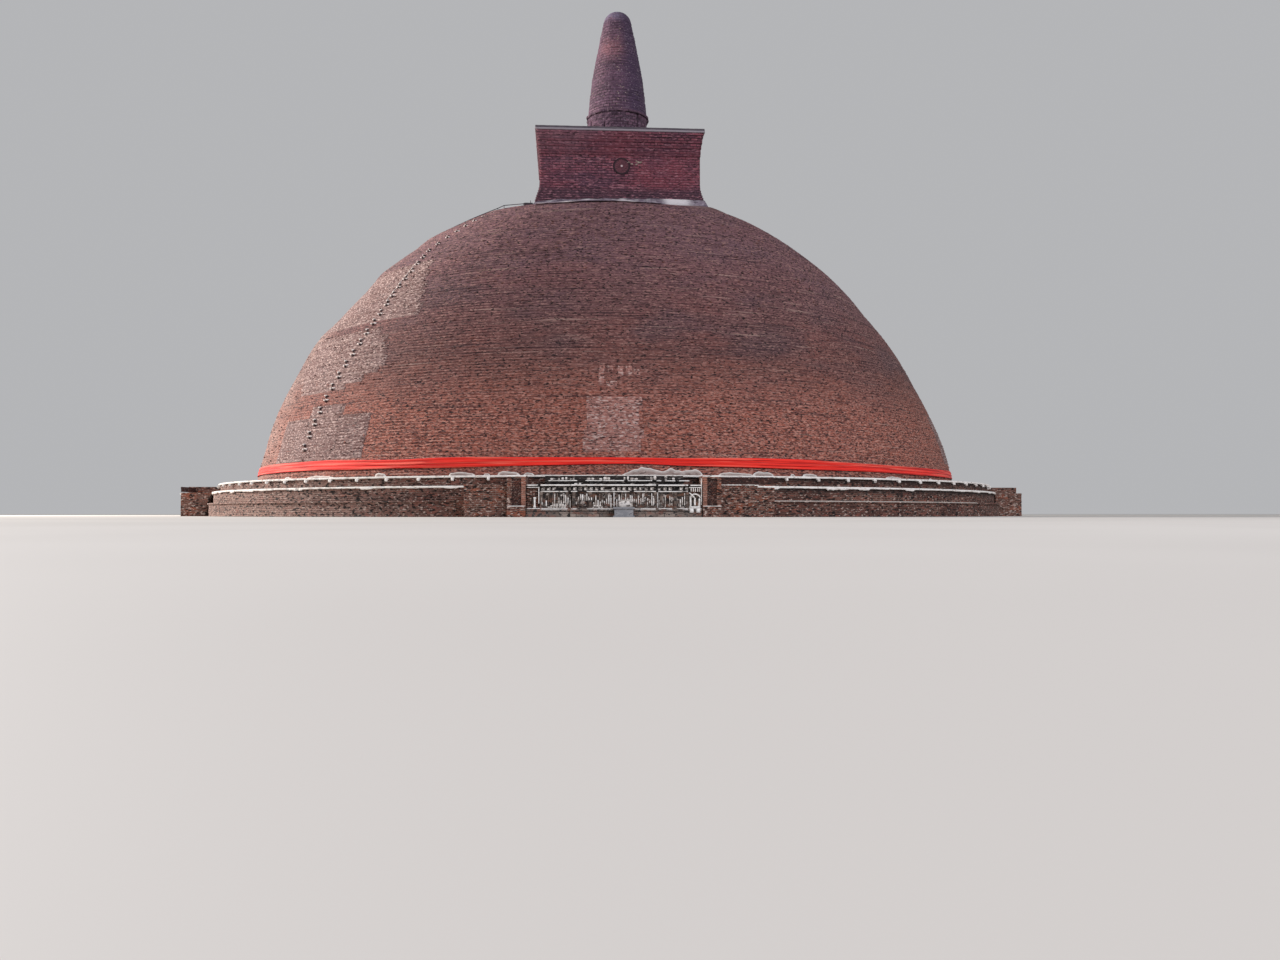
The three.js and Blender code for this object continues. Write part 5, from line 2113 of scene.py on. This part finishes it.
    def build(self) -> None:
        """Builds the side's carving and gives its nodes their materials."""
        low = joined(self.mouldings() + self.pilasters() + self.ribs(73, 0.6, 0.0))
        high = joined([self.backing()] + self.frieze() + self.ruin() + self.ribs(74, 0.75, 0.004))
        white = joined(self.washed_edges() + self.standing_stones() + self.ribs(75, 0.2, 0.006))
        for surface, name, finish, slot in (
            (low, "stone_mouldings", CARVED_STONE, "limestone"),
            (high, "stone_carving", HIGHLIT_CARVING_STONE, "limestone"),
            (white, "stone_edges", WASHED_AND_HIGHLIT_STONE, "limestone"),
            (self.brickwork(), "flank_bricks", FLANK_BRICK, "terrace_brick"),
            (self.pier_panels(), "pier_panels", PIER_BRICK, "terrace_brick"),
        ):
            finished(surface.moved(self.number * np.pi / 2), f"{name}_{self.side}", finish)
        for name, finish in (
            ("frontispiece_plinth", CARVED_STONE),
            ("frontispiece_wall", SHADED_STONE),
            ("frontispiece_cornice", STONE_IN_PAINTED_SHADE),
            ("brick_flank_left", FLANK_BRICK),
            ("brick_flank_right", FLANK_BRICK),
            ("flower_altar", ALTAR_STONE),
        ):
            dressed(f"{name}_{self.side}", finish)


# The studio


@dataclass
class Studio:
    """A pale floor, soft light and the camera at the photograph's viewing angle."""

    eye: tuple[float, float, float] = (-0.178, -16.19, 0.03)
    pitch: float = math.radians(1.77)
    yaw: float = math.radians(2.30)
    focal_pixels: float = 1100
    picture_width: int = 1280
    sensor: float = 36.0
    floor_half: float = 60.0
    lamp_aim: float = 2.0
    sky: float = 0.58

    def floor(self) -> None:
        """A flat floor, not part of the model."""
        line = np.linspace(-self.floor_half, self.floor_half, 9)
        x, y = np.meshgrid(line, line)
        surface = Surface(xyz(x, y, 0.0).reshape(-1, 3), [grid_faces(9, 9)])
        made = set_up("studio_floor", surface.mesh("studio_floor"))
        made.data.materials.append(STUDIO_FLOOR.material())

    def lamp(self, name: str, place: Sequence[float], size: float, power: float, tint: str) -> None:
        """A large soft lamp that faces the stupa.

        Args:
            name: of the lamp.
            place: where it hangs.
            size: its diameter.
            power: in watts.
            tint: its colour as sRGB hex.
        """
        data = bpy.data.lights.new(name, "AREA")
        data.shape, data.size, data.energy, data.color = "DISK", size, power, linear(tint)[:3]
        made = set_up(name, data)
        made.location = place
        x, y, z = place
        made.rotation_euler = (math.atan2(math.hypot(x, y), z - self.lamp_aim), 0, math.atan2(x, -y))

    def build(self) -> None:
        """Sets floor, world, lamps and camera."""
        self.floor()
        world = bpy.data.worlds.new("studio_world")
        bpy.context.scene.world = world
        world.use_nodes = True
        light = world.node_tree.nodes["Background"].inputs
        light["Color"].default_value = linear("#e6e7ea")
        light["Strength"].default_value = self.sky
        self.lamp("key_lamp", (-24, 5, 10), 7, 9500, "#fff7f0")
        self.lamp("fill_lamp", (9, -24, 13), 12, 2600, "#eef2ff")
        data = bpy.data.cameras.new("studio_camera")
        data.sensor_width = self.sensor
        data.lens = self.sensor * self.focal_pixels / self.picture_width
        data.clip_start, data.clip_end = 0.005, 300
        made = set_up("studio_camera", data)
        made.location = self.eye
        made.rotation_euler = (math.pi / 2 + self.pitch, 0, -self.yaw)
        bpy.context.scene.camera = made
        bpy.context.scene.view_settings.view_transform = "Standard"


def main() -> None:
    """Builds the studio and every part of the stupa in order."""
    logging.basicConfig(level=logging.INFO, format="%(message)s")
    Studio().build()
    dome, chamber = Dome(), Chamber()
    dome.build()
    finished(dome.rail(), "crown_handrail", RAIL_STEEL)
    PrayerCloth().build(dome)
    Terraces().build()
    chamber.build(dome)
    Spire().build()
    for number in range(len(SIDES)):
        Frontispiece(number).build()


if __name__ == "__main__":
    main()
